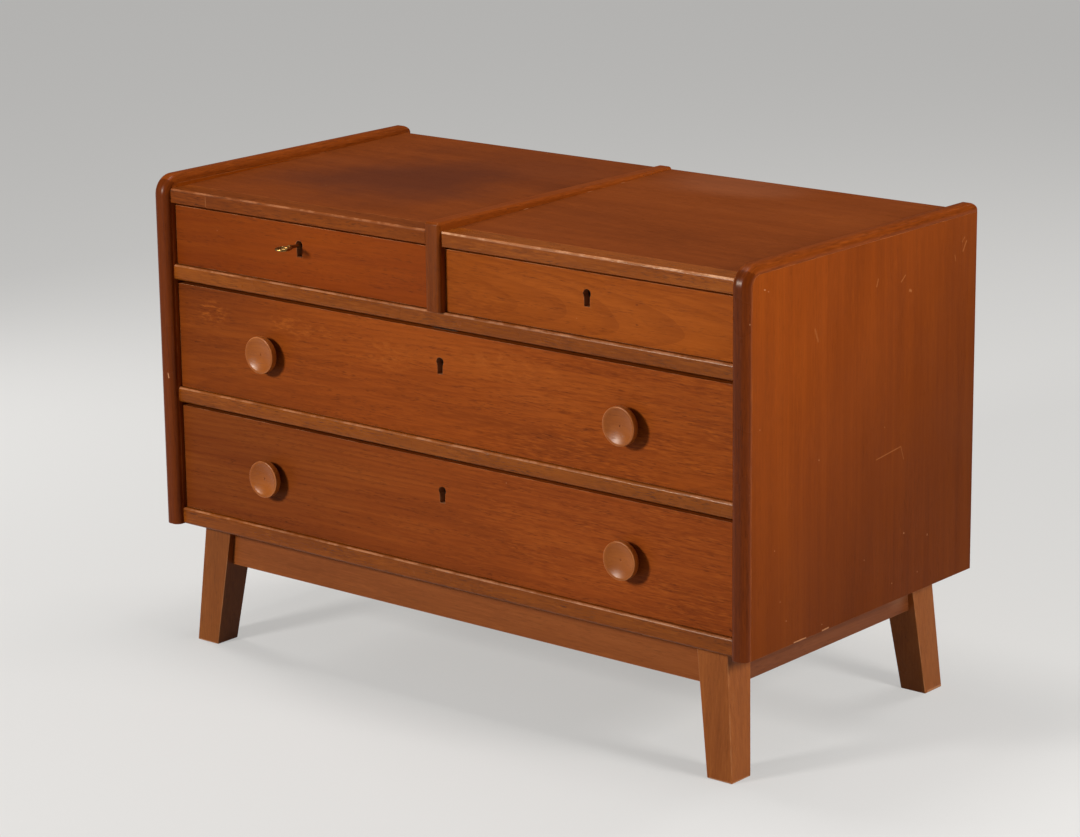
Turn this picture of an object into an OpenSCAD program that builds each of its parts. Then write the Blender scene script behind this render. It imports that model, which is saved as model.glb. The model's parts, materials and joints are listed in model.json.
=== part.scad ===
// Low chest of four drawers on a base frame with four splayed, tapered legs.
// Millimetres. X runs along the front, Y from the front to the back, Z up.
// The origin is on the floor, in the middle of the whole chest, seen from above.

/* [Case] */
// Width over the two side panels
case_w = 900; // [780:10:1100]
// Depth of a side panel, front edge to back edge
case_d = 448; // [400:4:520]
// Thickness of a side panel
side_t = 22; // [18:1:28]
// How far the side panels stand above the front edge of the tops
side_proud = 15.5; // [12:0.5:20]
// Thickness of the tops
top_t = 18; // [14:1:24]
// How much higher the tops lie at the back than at the front
top_rise = 7; // [0:1:9]
// How far the divider stands above the front edge of the tops
divider_proud = 10; // [8:0.5:14]
// Thickness of the divider
divider_t = 22; // [18:1:28]
// Depth of the rebate for the back panel in a side panel
back_rebate_d = 8; // [6:1:14]
// Width of that rebate, across the thickness of the side panel
back_rebate_w = 9; // [6:1:12]
// Thickness of the back panel
back_t = 5; // [4:1:6]
// How far the back panel stays below the surface of the tops
back_drop = 10; // [6:1:16]
// Thickness of the board at the bottom of the case
bottom_t = 12; // [9:1:18]
// Thickness of the board under the small drawers
dust_t = 12; // [9:1:16]

/* [Openings for the drawers] */
// Height of the opening of a wide drawer
wide_open_h = 136; // [110:2:170]
// Height of the opening of a small drawer
small_open_h = 77; // [67:2:101]
// Height of the upper and the middle rail
rail_h = 19; // [16:1:26]
// Height of the bottom rail
bottom_rail_h = 21; // [18:1:30]
// Depth of a rail, front to back
rail_d = 45; // [42:1:70]
// Width of a drawer runner
runner_w = 16; // [14:1:24]

/* [Front planes, behind the front edge of the side panels] */
// Front edge of the divider
divider_set = 4; // [2:0.5:6]
// Front edge of the tops
top_set = 8; // [6:0.5:10]
// Front faces of the rails
rail_set = 10; // [8:0.5:12]
// Front faces of the drawers
front_set = 15.5; // [13:0.5:20]

/* [Solid edges] */
// Depth of the solid wood edge on a side panel
side_lip_d = 11; // [9:1:20]
// Rounding of the long corners of that edge
side_lip_r = 8.5; // [3:0.5:8.5]
// Radius of the top front corner of a side panel
side_corner_r = 25; // [24:1:40]
// Radius of the top back corner of a side panel
side_back_r = 9; // [4:1:12]
// Depth of the solid wood edge on the divider
divider_lip_d = 12; // [10:1:20]
// Rounding of the long corners of that edge and of its top front corner
divider_lip_r = 5; // [2:0.5:7]
// Depth of the solid wood edge on a top
top_lip_d = 30; // [28:1:40]
// Rounding of that edge at the top
top_lip_r = 3.5; // [2:0.5:6]
// Rounding of that edge at the bottom
top_lip_under_r = 2; // [1:0.5:5]
// Rounding of that edge at its end beside the divider
top_end_r = 3.5; // [1:0.5:6]
// Gap between that edge and the side panel
top_lip_gap = 1; // [0.5:0.1:1.5]
// Rounding of the front corners of a rail
rail_r = 3.5; // [1:0.5:5]

/* [Base] */
// Height of the case above the floor
base_h = 152; // [120:2:220]
// Width of a leg at the top
leg_top = 43; // [36:1:50]
// Width of a leg at the floor
leg_foot = 35; // [24:1:36]
// Distance from the side of the case to the outer face of a leg
leg_side_in = 44; // [36:1:60]
// Distance from the front of the case to the front face of a front leg
leg_front_in = 27; // [22:1:40]
// Distance from the back of the case to the back face of a back leg
leg_back_in = 17.5; // [17:0.5:40]
// How far a foot stands out sideways from the top of its leg
splay_x = 17; // [0:1:30]
// How far a foot stands out to the front or the back
splay_y = 12.5; // [0:0.5:15]
// Height of the aprons
apron_h = 48; // [36:1:70]
// Thickness of the aprons
apron_t = 20; // [16:1:24]
// How far the front and back aprons lie behind the faces of the legs
apron_front_in = 8; // [2:0.5:14]
// How far the side aprons lie behind the faces of the legs
apron_side_in = 5; // [2:0.5:14]
// Side of a glue block
block_s = 22; // [16:1:30]
// Length of a glue block
block_l = 70; // [40:5:100]

/* [Drawers] */
// Thickness of a drawer front
front_t = 20; // [18:1:24]
// Gap at each end of a drawer front
front_gap_x = 1.2; // [0.8:0.1:2]
// Gap under a drawer front
front_gap_low = 0.5; // [0.4:0.1:1.5]
// Gap above the front of a small drawer
small_gap_top = 3.5; // [1.5:0.1:4]
// Gap above the front of a wide drawer
wide_gap_top = 5; // [3:0.5:6]
// Thickness of a drawer side
box_side_t = 12; // [10:1:14]
// Thickness of a drawer back
box_back_t = 10; // [8:1:14]
// Thickness of a drawer bottom
box_bottom_t = 5; // [4:1:6]
// Height of the drawer bottom above the lower edge of the sides
box_bottom_z = 9; // [8:1:14]
// How far the sides stay below the top of the front
box_side_drop = 8; // [4:1:12]
// How far a drawer back stays below the top of the sides
box_back_drop = 6; // [2:1:10]
// Depth of the grooves for the drawer bottom
groove_d = 5; // [4:0.5:6]
// Space between a drawer and the back panel
box_rear_gap = 10; // [6:1:30]
// Wood left in front of the dovetails
lap_t = 6; // [4:1:8]
// Spacing of the dovetails, about
tail_pitch = 26; // [20:1:32]
// Width of a dovetail at its narrow end
tail_root = 12; // [9:1:14]
// Width of a drawer stop
stop_w = 32; // [20:1:50]
// Depth of a drawer stop, front to back
stop_d = 5; // [4:1:6]
// Height of a drawer stop
stop_h = 5; // [3:1:6]

/* [Knobs] */
// Diameter of a knob
knob_d = 45.5; // [36:0.5:60]
// Thickness of the disc of a knob
knob_disc_t = 9.5; // [8:0.5:12]
// How far a knob stands out from the drawer front
knob_reach = 17.5; // [15:0.5:30]
// Diameter of the neck of a knob
knob_neck_d = 20; // [14:1:26]
// Width of the rim around the hollow face
knob_rim = 2; // [1.5:0.5:5]
// Depth of the hollow face
knob_dish = 4.6; // [1:0.2:5]
// Diameter of the mark in the middle of the face
knob_mark_d = 3; // [2:0.5:5]
// Diameter of the dowel in the drawer front
knob_dowel_d = 10; // [8:1:12]
// Length of that dowel
knob_dowel_l = 13; // [8:1:16]
// Distance from the middle of the front to a knob
knob_x = 276; // [180:2:330]
// Height of a knob above the lower edge of the drawer front
knob_z = 64; // [50:1:70]

/* [Locks] */
// Diameter of the round part of a keyhole
keyhole_d = 10.8; // [8:0.2:12]
// Width of the slot of a keyhole
keyhole_slot = 8; // [4:0.5:8]
// Height of a whole keyhole
keyhole_h = 20; // [17:0.5:22]
// Top edge of a small drawer front down to the axis of the key
small_key_drop = 24.5; // [22:0.5:30]
// Top edge of a wide drawer front down to the axis of the key
wide_key_drop = 37; // [32:0.5:50]
// Width of a lock
lock_w = 38; // [34:1:50]
// Depth of a lock in the drawer front
lock_d = 11; // [10:0.5:12]
// Thickness of the walls of a lock
lock_wall = 1.5; // [1:0.1:2]
// Width of the head of a bolt
bolt_w = 16; // [10:1:22]
// Thickness of a bolt
bolt_t = 4; // [3:0.5:4.5]
// Travel of the bolt of a small drawer
small_throw = 7; // [5:0.5:7]
// Travel of the bolt of a wide drawer
wide_throw = 10; // [8:0.5:11]

/* [Key] */
// Diameter of the shank
shank_d = 4; // [3:0.2:5]
// Length of the shank in front of the drawer
shank_out = 18; // [12:1:30]
// Outer diameter of the ring
ring_d = 19; // [14:1:24]
// Thickness of the ring
ring_t = 3.2; // [2.4:0.2:4]
// Diameter of the collar between shank and ring
collar_d = 6; // [5.4:0.2:7]
// Length of that collar
collar_l = 3; // [2:0.5:5]
// Diameter of the tip that turns in the back of the lock
tip_d = 2.4; // [1.6:0.2:2.6]
// Reach of the bit from the axis of the key
bit_r = 7.5; // [6.5:0.5:8]
// Thickness of the bit
bit_t = 1.5; // [1:0.1:2]

/* [Clearances] */
// Gap between pieces that slide or turn
run_gap = 0.3; // [0.2:0.05:0.4]
// Gap around a piece that is glued or driven in
glue_gap = 0.1; // [0.05:0.05:0.2]
// Gap between a closed drawer front and its stops
stop_gap = 0.2; // [0.1:0.1:0.4]

/* [Hidden] */
$fn = 96;
over = 1;
half_w = case_w / 2;
in_x = half_w - side_t;
div_x = divider_t / 2;

key_reach = shank_out + ring_d;
reach = max(0, key_reach - front_set, knob_reach - front_set);
front_y = -(case_d - reach) / 2;
back_y = front_y + case_d;
inner_back_y = back_y - back_rebate_d;
rail_y = front_y + rail_set;
rail_back_y = rail_y + rail_d;
drawer_y = front_y + front_set;
drawer_back_y = drawer_y + front_t;
box_rear_y = inner_back_y - box_rear_gap;
stop_y = drawer_back_y + stop_gap;

bottom_rail_top = base_h + bottom_rail_h;
mid_rail_low = bottom_rail_top + wide_open_h;
mid_rail_top = mid_rail_low + rail_h;
up_rail_low = mid_rail_top + wide_open_h;
up_rail_top = up_rail_low + rail_h;
tops_low = up_rail_top + small_open_h;
tops_z = tops_low + top_t;
side_z = tops_z + side_proud;
board_z = side_z - side_lip_d;
back_z = tops_z + top_rise - back_drop;
divider_z = tops_z + divider_proud;

// A drawer is [left end of the opening, right end, floor, ceiling, gap at the top, key drop, throw]
small_left = [-in_x, -div_x, up_rail_top, tops_low, small_gap_top, small_key_drop, small_throw];
small_right = [div_x, in_x, up_rail_top, tops_low, small_gap_top, small_key_drop, small_throw];
wide_upper = [-in_x, in_x, mid_rail_top, up_rail_low, wide_gap_top, wide_key_drop, wide_throw];
wide_lower = [-in_x, in_x, bottom_rail_top, mid_rail_low, wide_gap_top, wide_key_drop, wide_throw];
drawers = [small_left, small_right, wide_upper, wide_lower];

function end_l(d) = d[0] + front_gap_x;
function end_r(d) = d[1] - front_gap_x;
function mid_x(d) = (d[0] + d[1]) / 2;
function front_low(d) = d[2] + front_gap_low;
function front_top(d) = d[3] - d[4];
function box_low(d) = d[2] + run_gap;
function box_top(d) = front_top(d) - box_side_drop;
function panel_low(d) = box_low(d) + box_bottom_z;
function key_z(d) = front_top(d) - d[5];
function tails(d) = max(2, floor((box_top(d) - front_low(d)) / tail_pitch));
function tail_z(d, i) = front_low(d) + (i + 0.5) * (box_top(d) - front_low(d)) / tails(d);

tail_len = front_t - lap_t;
tail_flare = tail_len / 6;
groove_fit = box_bottom_t + 2 * glue_gap;

keyhole_low = keyhole_h - keyhole_d / 2;
lock_y = drawer_back_y - lock_d;
bolt_back_y = drawer_back_y - lock_wall - run_gap;
bolt_y = bolt_back_y - bolt_t;
// The bit swings highest above an evenly lifted bolt by this much
swing = bit_r * 0.25 + bit_t / 2;
bolt_low = max(swing, shank_d / 2) + 2 * run_gap;
plate_t = 2;
bolt_inset = 0.5;
collar_inset = 0.5;
bolt_room = 1.5;
knob_back_r = 3;
knob_rim_r = 1.2;
knob_mark_deep = 0.8;
mortise_gap = 1;
lock_margin = 2.5;
bolt_shoulder = 5;
lock_low = keyhole_low + lock_margin;
bolt_wide = bolt_w + 2 * bolt_shoulder;

foot_x = half_w - leg_side_in - leg_top / 2;
front_leg_y = front_y + leg_front_in + leg_top / 2;
back_leg_y = back_y - leg_back_in - leg_top / 2;
apron_low = base_h - apron_h;
front_apron_y = front_y + leg_front_in + apron_front_in;
back_apron_y = back_y - leg_back_in - apron_front_in;
side_apron_x = half_w - leg_side_in - apron_side_in;
apron_mid_y = (front_leg_y + back_leg_y) / 2;

teak = "#9d5532";
teak_dark = "#7c412a";
teak_legs = "#a35b35";
knob_wood = "#b96d45";
beech = "#c8a06f";
ply = "#c9ac80";
brass = "#b39459";
steel = "#8c8984";

// Box between two corners
module block(x0, x1, y0, y1, z0, z1) {
    translate([x0, y0, z0]) cube([x1 - x0, y1 - y0, z1 - z0]);
}

// Flat shape drawn in Y and Z, drawn out along X
module along_x(x0, x1) {
    translate([x0, 0, 0]) rotate([90, 0, 90]) linear_extrude(x1 - x0) children();
}

// Flat shape drawn in X and Z, drawn out along Y
module along_y(y0, y1) {
    translate([0, y1, 0]) rotate([90, 0, 0]) linear_extrude(y1 - y0) children();
}

// Flat shape drawn in X and Y, drawn out along Z
module along_z(z0, z1) {
    translate([0, 0, z0]) linear_extrude(z1 - z0) children();
}

// What rounding takes from a corner at the origin, of a shape in the first quadrant
module corner_waste(r) {
    difference() {
        translate([-over, -over]) square(r + over);
        translate([r, r]) circle(r);
    }
}

// Rectangle with its corners rounded: low left, low right, high right, high left
module soft_rect(x0, y0, x1, y1, r_ll = 0, r_lr = 0, r_hr = 0, r_hl = 0) {
    difference() {
        translate([x0, y0]) square([x1 - x0, y1 - y0]);
        if (r_ll > 0) translate([x0, y0]) corner_waste(r_ll);
        if (r_lr > 0) translate([x1, y0]) mirror([1, 0]) corner_waste(r_lr);
        if (r_hr > 0) translate([x1, y1]) rotate(180) corner_waste(r_hr);
        if (r_hl > 0) translate([x0, y1]) mirror([0, 1]) corner_waste(r_hl);
    }
}

// Solid edge strip in section: rounded at its low end, square at the other
module strip_section(w, d, r) {
    soft_rect(-w / 2, 0, w / 2, d, r_ll = r, r_lr = r);
}

// Board of a side panel, side = -1 left, 1 right
module side_panel(side) {
    x0 = side > 0 ? in_x : -half_w;
    rebate_x = side > 0 ? in_x - over : -in_x - back_rebate_w;
    color(teak) difference() {
        along_x(x0, x0 + side_t)
            soft_rect(front_y + side_lip_d, base_h, back_y, board_z,
                r_hl = side_corner_r - side_lip_d + glue_gap);
        block(rebate_x, rebate_x + back_rebate_w + over, inner_back_y, back_y + over,
            base_h - over, back_z + glue_gap);
    }
}

// Solid edge of a side panel: up the front, round the corner and along the top
module side_lipping(side) {
    x = side * (half_w - side_t / 2);
    color(teak_dark) intersection() {
        union() {
            along_z(base_h, side_z - side_corner_r)
                translate([x, front_y]) strip_section(side_t, side_lip_d, side_lip_r);
            translate([x, front_y + side_corner_r, side_z - side_corner_r])
                rotate([0, -90, 180]) rotate_extrude(angle = 90)
                    translate([side_corner_r, 0]) rotate(90)
                        strip_section(side_t, side_lip_d, side_lip_r);
            along_y(front_y + side_corner_r, back_y)
                translate([x, side_z]) mirror([0, 1])
                    strip_section(side_t, side_lip_d, side_lip_r);
        }
        along_x(x - side_t, x + side_t)
            soft_rect(front_y - over, base_h - over, back_y, side_z, r_hr = side_back_r);
    }
}

// Board between the two tops and the two small drawers
module centre_divider() {
    color(teak)
        block(-div_x, div_x, front_y + divider_set + divider_lip_d, inner_back_y,
            up_rail_top, divider_z - divider_lip_d);
}

// Solid edge of the divider, on its front and its top
module divider_lipping() {
    y0 = front_y + divider_set;
    color(teak_dark) difference() {
        intersection() {
            along_x(-div_x, div_x)
                soft_rect(y0, up_rail_top, inner_back_y, divider_z, r_hl = divider_lip_r);
            along_z(up_rail_top - over, divider_z + over)
                translate([0, y0]) strip_section(divider_t, case_d, divider_lip_r);
            along_y(y0 - over, inner_back_y + over)
                translate([0, divider_z]) mirror([0, 1])
                    strip_section(divider_t, divider_z - up_rail_top + over, divider_lip_r);
        }
        block(-half_w, half_w, y0 + divider_lip_d, back_y,
            up_rail_top - over, divider_z - divider_lip_d);
    }
}

// Room that the bolt of a drawer needs in the rail or the top above it
module bolt_mortise(d) {
    deep = d[6] - d[4] - bolt_inset + bolt_room;
    x = bolt_w / 2 + mortise_gap;
    block(mid_x(d) - x, mid_x(d) + x, bolt_y - mortise_gap, bolt_back_y + mortise_gap,
        d[3] - over, d[3] + deep);
}

// Board of a top, which rises to the back
module top_panel(side, d) {
    x0 = side > 0 ? div_x : -in_x;
    y0 = front_y + top_set + top_lip_d;
    color(teak) difference() {
        along_x(x0, x0 + in_x - div_x)
            polygon([[y0, tops_low], [inner_back_y, tops_low + top_rise],
                [inner_back_y, tops_z + top_rise], [y0, tops_z]]);
        bolt_mortise(d);
    }
}

// Solid front edge of a top
module top_lipping(side, d) {
    x0 = side > 0 ? div_x : -in_x + top_lip_gap;
    x1 = x0 + in_x - div_x - top_lip_gap;
    y0 = front_y + top_set;
    y1 = y0 + top_lip_d;
    color(teak_dark) difference() {
        intersection() {
            along_x(x0, x1)
                soft_rect(y0, tops_low, y1, tops_z, r_ll = top_lip_under_r, r_hl = top_lip_r);
            along_z(tops_low - over, tops_z + over)
                soft_rect(x0, y0, x1, y1, r_ll = side > 0 ? top_end_r : 0,
                    r_lr = side > 0 ? 0 : top_end_r);
        }
        bolt_mortise(d);
    }
}

// Plain rail between the side panels
module rail(z0, z1) {
    along_x(-in_x, in_x)
        soft_rect(rail_y, z0, rail_back_y, z1, r_ll = rail_r, r_hl = rail_r);
}

// Rail under the small drawers
module upper_rail() {
    color(teak) difference() {
        rail(up_rail_low, up_rail_top);
        bolt_mortise(wide_upper);
    }
}

// Rail between the wide drawers
module middle_rail() {
    color(teak) difference() {
        rail(mid_rail_low, mid_rail_top);
        bolt_mortise(wide_lower);
    }
}

// Rail at the foot of the case
module bottom_rail() {
    color(teak) rail(base_h, bottom_rail_top);
}

// Board that carries the small drawers
module dust_board() {
    color(beech) block(-in_x, in_x, rail_back_y, inner_back_y, up_rail_top - dust_t, up_rail_top);
}

// Board at the bottom of the case
module case_bottom() {
    color(beech) block(-in_x, in_x, rail_back_y, inner_back_y, base_h, base_h + bottom_t);
}

// Thin panel in the rebates of the side panels
module back_panel() {
    x = in_x + back_rebate_w;
    color(ply) block(-x, x, inner_back_y, inner_back_y + back_t, base_h, back_z);
}

// Strips on the side panels that carry the wide drawers
module drawer_runners() {
    color(beech) for (side = [-1, 1]) {
        x0 = side > 0 ? in_x - runner_w : -in_x;
        block(x0, x0 + runner_w, rail_back_y, inner_back_y, mid_rail_low, mid_rail_top);
        block(x0, x0 + runner_w, rail_back_y, inner_back_y, base_h + bottom_t, bottom_rail_top);
    }
}

// Small blocks on the rails that stop the closing drawers
module drawer_stops() {
    color(beech) for (d = drawers) for (side = [-1, 1]) {
        x = mid_x(d) + side * (d[1] - d[0]) / 4;
        block(x - stop_w / 2, x + stop_w / 2, stop_y, stop_y + stop_d, d[2], d[2] + stop_h);
    }
}

// Four flat faces between the top of the case and the floor, seen along one axis
module leg_outline(top_mid, out) {
    polygon([
        [top_mid - leg_top / 2, base_h],
        [top_mid + leg_top / 2, base_h],
        [top_mid + out + leg_foot / 2, 0],
        [top_mid + out - leg_foot / 2, 0]
    ]);
}

// Square tapered leg, splayed to the side and to the front or the back
module leg_body(side, end) {
    y = end > 0 ? back_leg_y : front_leg_y;
    intersection() {
        along_y(front_y - case_d, back_y + case_d) leg_outline(side * foot_x, side * splay_x);
        along_x(-case_w, case_w) leg_outline(y, end * splay_y);
    }
}

// One of the four legs
module leg(side, end) {
    color(teak_legs) leg_body(side, end);
}

// Apron across the front or the back, cut to the slope of the legs
module long_apron(end) {
    y0 = end > 0 ? back_apron_y - apron_t : front_apron_y;
    color(teak_legs) difference() {
        block(-foot_x, foot_x, y0, y0 + apron_t, apron_low, base_h);
        leg_body(-1, end);
        leg_body(1, end);
    }
}

// Apron along a side, cut to the slope of the legs
module side_apron(side) {
    x0 = side > 0 ? side_apron_x - apron_t : -side_apron_x;
    color(teak_legs) difference() {
        block(x0, x0 + apron_t, front_leg_y, back_leg_y, apron_low, base_h);
        leg_body(side, -1);
        leg_body(side, 1);
    }
}

// Blocks that hold the aprons to the bottom of the case
module glue_blocks() {
    color(beech) for (side = [-1, 1]) {
        x0 = side * foot_x / 2 - block_l / 2;
        block(x0, x0 + block_l, front_apron_y + apron_t, front_apron_y + apron_t + block_s,
            base_h - block_s, base_h);
        block(x0, x0 + block_l, back_apron_y - apron_t - block_s, back_apron_y - apron_t,
            base_h - block_s, base_h);
        inner_x = side_apron_x - apron_t;
        side_x0 = side > 0 ? inner_x - block_s : -inner_x;
        block(side_x0, side_x0 + block_s, apron_mid_y - block_l / 2, apron_mid_y + block_l / 2,
            base_h - block_s, base_h);
    }
}

// Keyhole through whatever lies between y0 and y1
module keyhole(d, y0, y1) {
    translate([mid_x(d), y1, key_z(d)]) rotate([90, 0, 0])
        cylinder(d = keyhole_d, h = y1 - y0);
    block(mid_x(d) - keyhole_slot / 2, mid_x(d) + keyhole_slot / 2, y0, y1,
        key_z(d) - keyhole_low, key_z(d));
}

// One dovetail seen from the side, wider by a gap all round
module tail_outline(z, gap) {
    root = tail_root / 2 + gap;
    y1 = drawer_back_y + over;
    y0 = drawer_back_y - tail_len - gap;
    grow = tail_flare / tail_len;
    polygon([
        [y1, z - root + (y1 - drawer_back_y) * grow],
        [y1, z + root - (y1 - drawer_back_y) * grow],
        [y0, z + root + (drawer_back_y - y0) * grow],
        [y0, z - root - (drawer_back_y - y0) * grow]
    ]);
}

// Drawer front with keyhole, lock recess, sockets for the sides and groove for the bottom
module front_board(d) {
    difference() {
        block(end_l(d), end_r(d), drawer_y, drawer_back_y, front_low(d), front_top(d));
        keyhole(d, drawer_y - over, drawer_back_y);
        block(mid_x(d) - lock_w / 2 - glue_gap, mid_x(d) + lock_w / 2 + glue_gap,
            lock_y - glue_gap, drawer_back_y + over, key_z(d) - lock_low, front_top(d) + over);
        block(end_l(d) + box_side_t, end_r(d) - box_side_t,
            drawer_back_y - groove_d, drawer_back_y + over,
            panel_low(d), panel_low(d) + groove_fit);
        for (i = [0 : tails(d) - 1]) {
            along_x(end_l(d) - over, end_l(d) + box_side_t) tail_outline(tail_z(d, i), glue_gap);
            along_x(end_r(d) - box_side_t, end_r(d) + over) tail_outline(tail_z(d, i), glue_gap);
        }
    }
}

// Front of a small drawer
module small_front(d) {
    color(teak) front_board(d);
}

// Front of a wide drawer, also bored for its knobs
module wide_front(d) {
    color(teak) difference() {
        front_board(d);
        for (side = [-1, 1])
            translate([mid_x(d) + side * knob_x, drawer_y - over, front_low(d) + knob_z])
                rotate([-90, 0, 0])
                    cylinder(d = knob_dowel_d + 2 * glue_gap, h = knob_dowel_l + glue_gap + over);
    }
}

// Drawer side with its dovetails and its groove for the bottom
module drawer_side(d, side) {
    x0 = side > 0 ? end_r(d) - box_side_t : end_l(d);
    groove_x = side > 0 ? x0 - over : x0 + box_side_t - groove_d;
    color(beech) difference() {
        union() {
            block(x0, x0 + box_side_t, drawer_back_y, box_rear_y, box_low(d), box_top(d));
            for (i = [0 : tails(d) - 1])
                along_x(x0, x0 + box_side_t) tail_outline(tail_z(d, i), 0);
        }
        block(groove_x, groove_x + groove_d + over, drawer_back_y, box_rear_y + over,
            panel_low(d), panel_low(d) + groove_fit);
    }
}

// Drawer back, between the sides and on the bottom
module drawer_back(d) {
    color(beech)
        block(end_l(d) + box_side_t, end_r(d) - box_side_t, box_rear_y - box_back_t, box_rear_y,
            panel_low(d) + box_bottom_t, box_top(d) - box_back_drop);
}

// Drawer bottom, in the grooves of the sides and of the front
module drawer_bottom(d) {
    in_groove = groove_d - glue_gap;
    x0 = end_l(d) + box_side_t;
    x1 = end_r(d) - box_side_t;
    z0 = panel_low(d);
    color(ply) {
        block(x0 - in_groove, x1 + in_groove, drawer_back_y + glue_gap, box_rear_y,
            z0, z0 + box_bottom_t);
        block(x0 + glue_gap, x1 - glue_gap, drawer_back_y - in_groove, drawer_back_y + over,
            z0, z0 + box_bottom_t);
    }
}

// Metal case of a lock, open at the keyhole, at the bolt and at the tip of the key
module lock_case(d) {
    x = lock_w / 2;
    z0 = key_z(d) - lock_low;
    z1 = front_top(d);
    color(steel) difference() {
        block(mid_x(d) - x, mid_x(d) + x, lock_y, drawer_back_y, z0, z1);
        block(mid_x(d) - x + lock_wall, mid_x(d) + x - lock_wall,
            lock_y + lock_wall, drawer_back_y - lock_wall, z0 + lock_wall, z1 - plate_t);
        keyhole(d, lock_y - over, lock_y + lock_wall + over);
        block(mid_x(d) - bolt_w / 2 - run_gap, mid_x(d) + bolt_w / 2 + run_gap,
            bolt_y - run_gap, bolt_back_y + run_gap, z1 - plate_t - over, z1 + over);
        translate([mid_x(d), drawer_back_y + over, key_z(d)]) rotate([90, 0, 0])
            cylinder(d = tip_d + 2 * run_gap, h = lock_wall + 2 * over);
    }
}

// Bolt of a lock, drawn back
module lock_bolt(d) {
    z0 = key_z(d) + bolt_low;
    body_z = front_top(d) - plate_t - run_gap - d[6];
    color(brass) {
        block(mid_x(d) - bolt_wide / 2, mid_x(d) + bolt_wide / 2, bolt_y, bolt_back_y, z0, body_z);
        block(mid_x(d) - bolt_w / 2, mid_x(d) + bolt_w / 2, bolt_y, bolt_back_y,
            body_z - over, front_top(d) - bolt_inset);
    }
}

// Turned knob with a hollow face, drawn with its axis along Z and then laid forward
module knob(d, side) {
    r = knob_d / 2;
    dish_z = knob_reach - knob_dish;
    disc_z = knob_reach - knob_disc_t;
    dish_r = r - knob_rim;
    ball_r = (dish_r * dish_r + knob_dish * knob_dish) / (2 * knob_dish);
    color(knob_wood)
        translate([mid_x(d) + side * knob_x, drawer_y, front_low(d) + knob_z]) rotate([90, 0, 0])
            difference() {
                union() {
                    translate([0, 0, -knob_dowel_l])
                        cylinder(d = knob_dowel_d, h = knob_dowel_l + over);
                    cylinder(d = knob_neck_d, h = disc_z + over);
                    rotate_extrude() difference() {
                        soft_rect(-r, disc_z, r, knob_reach,
                            r_lr = knob_back_r, r_hr = knob_rim_r);
                        translate([-r - over, 0]) square([r + over, knob_reach + over]);
                    }
                }
                translate([0, 0, dish_z + ball_r]) sphere(ball_r);
                translate([0, 0, dish_z - knob_mark_deep])
                    cylinder(d = knob_mark_d, h = knob_reach);
            }
}

// Key with a ring, its bit turned to the side
module key() {
    d = small_left;
    ring_r = (ring_d - ring_t) / 2;
    ring_y = drawer_y - shank_out - ring_d / 2;
    collar_y = drawer_y - shank_out + collar_inset;
    tip_y = drawer_back_y - bolt_inset;
    shank_end_y = drawer_back_y - lock_wall - run_gap;
    color(brass) translate([mid_x(d), 0, key_z(d)]) {
        along_y(collar_y - over, shank_end_y) circle(d = shank_d);
        along_y(collar_y, collar_y + collar_l) circle(d = collar_d);
        along_y(shank_end_y - over, tip_y) circle(d = tip_d);
        translate([0, ring_y, 0]) rotate_extrude() translate([ring_r, 0]) circle(d = ring_t);
        block(0, bit_r, bolt_y, bolt_back_y, -bit_t / 2, bit_t / 2);
    }
}

side_panel(-1);  // side_panel_left
side_panel(1);  // side_panel_right
side_lipping(-1);  // side_lipping_left
side_lipping(1);  // side_lipping_right
centre_divider();
divider_lipping();
top_panel(-1, small_left);  // top_panel_left
top_panel(1, small_right);  // top_panel_right
top_lipping(-1, small_left);  // top_lipping_left
top_lipping(1, small_right);  // top_lipping_right
upper_rail();
middle_rail();
bottom_rail();
dust_board();
case_bottom();
back_panel();
drawer_runners();
drawer_stops();
long_apron(-1);  // front_apron
long_apron(1);  // back_apron
side_apron(-1);  // side_apron_left
side_apron(1);  // side_apron_right
leg(-1, -1);  // leg_front_left
leg(1, -1);  // leg_front_right
leg(-1, 1);  // leg_back_left
leg(1, 1);  // leg_back_right
glue_blocks();
small_front(small_left);  // small_left_front
drawer_side(small_left, -1);  // small_left_side_l
drawer_side(small_left, 1);  // small_left_side_r
drawer_back(small_left);  // small_left_back
drawer_bottom(small_left);  // small_left_bottom
lock_case(small_left);  // small_left_lock
lock_bolt(small_left);  // small_left_bolt
small_front(small_right);  // small_right_front
drawer_side(small_right, -1);  // small_right_side_l
drawer_side(small_right, 1);  // small_right_side_r
drawer_back(small_right);  // small_right_back
drawer_bottom(small_right);  // small_right_bottom
lock_case(small_right);  // small_right_lock
lock_bolt(small_right);  // small_right_bolt
wide_front(wide_upper);  // wide_upper_front
drawer_side(wide_upper, -1);  // wide_upper_side_l
drawer_side(wide_upper, 1);  // wide_upper_side_r
drawer_back(wide_upper);  // wide_upper_back
drawer_bottom(wide_upper);  // wide_upper_bottom
lock_case(wide_upper);  // wide_upper_lock
lock_bolt(wide_upper);  // wide_upper_bolt
knob(wide_upper, -1);  // wide_upper_knob_l
knob(wide_upper, 1);  // wide_upper_knob_r
wide_front(wide_lower);  // wide_lower_front
drawer_side(wide_lower, -1);  // wide_lower_side_l
drawer_side(wide_lower, 1);  // wide_lower_side_r
drawer_back(wide_lower);  // wide_lower_back
drawer_bottom(wide_lower);  // wide_lower_bottom
lock_case(wide_lower);  // wide_lower_lock
lock_bolt(wide_lower);  // wide_lower_bolt
knob(wide_lower, -1);  // wide_lower_knob_l
knob(wide_lower, 1);  // wide_lower_knob_r
key();
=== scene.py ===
# %% [markdown]
# # A low teak chest of drawers
# The chest comes in as a finished construction: every board, rail, lock and knob is
# already there at its real size. What is left is what a finisher does: breaking the sharp
# corners, choosing how the grain runs in each board, staining, lacquering and wearing it.

# %% Load the construction
import json
import math
import random

import bmesh
import bpy
from mathutils import Matrix, Vector


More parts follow.
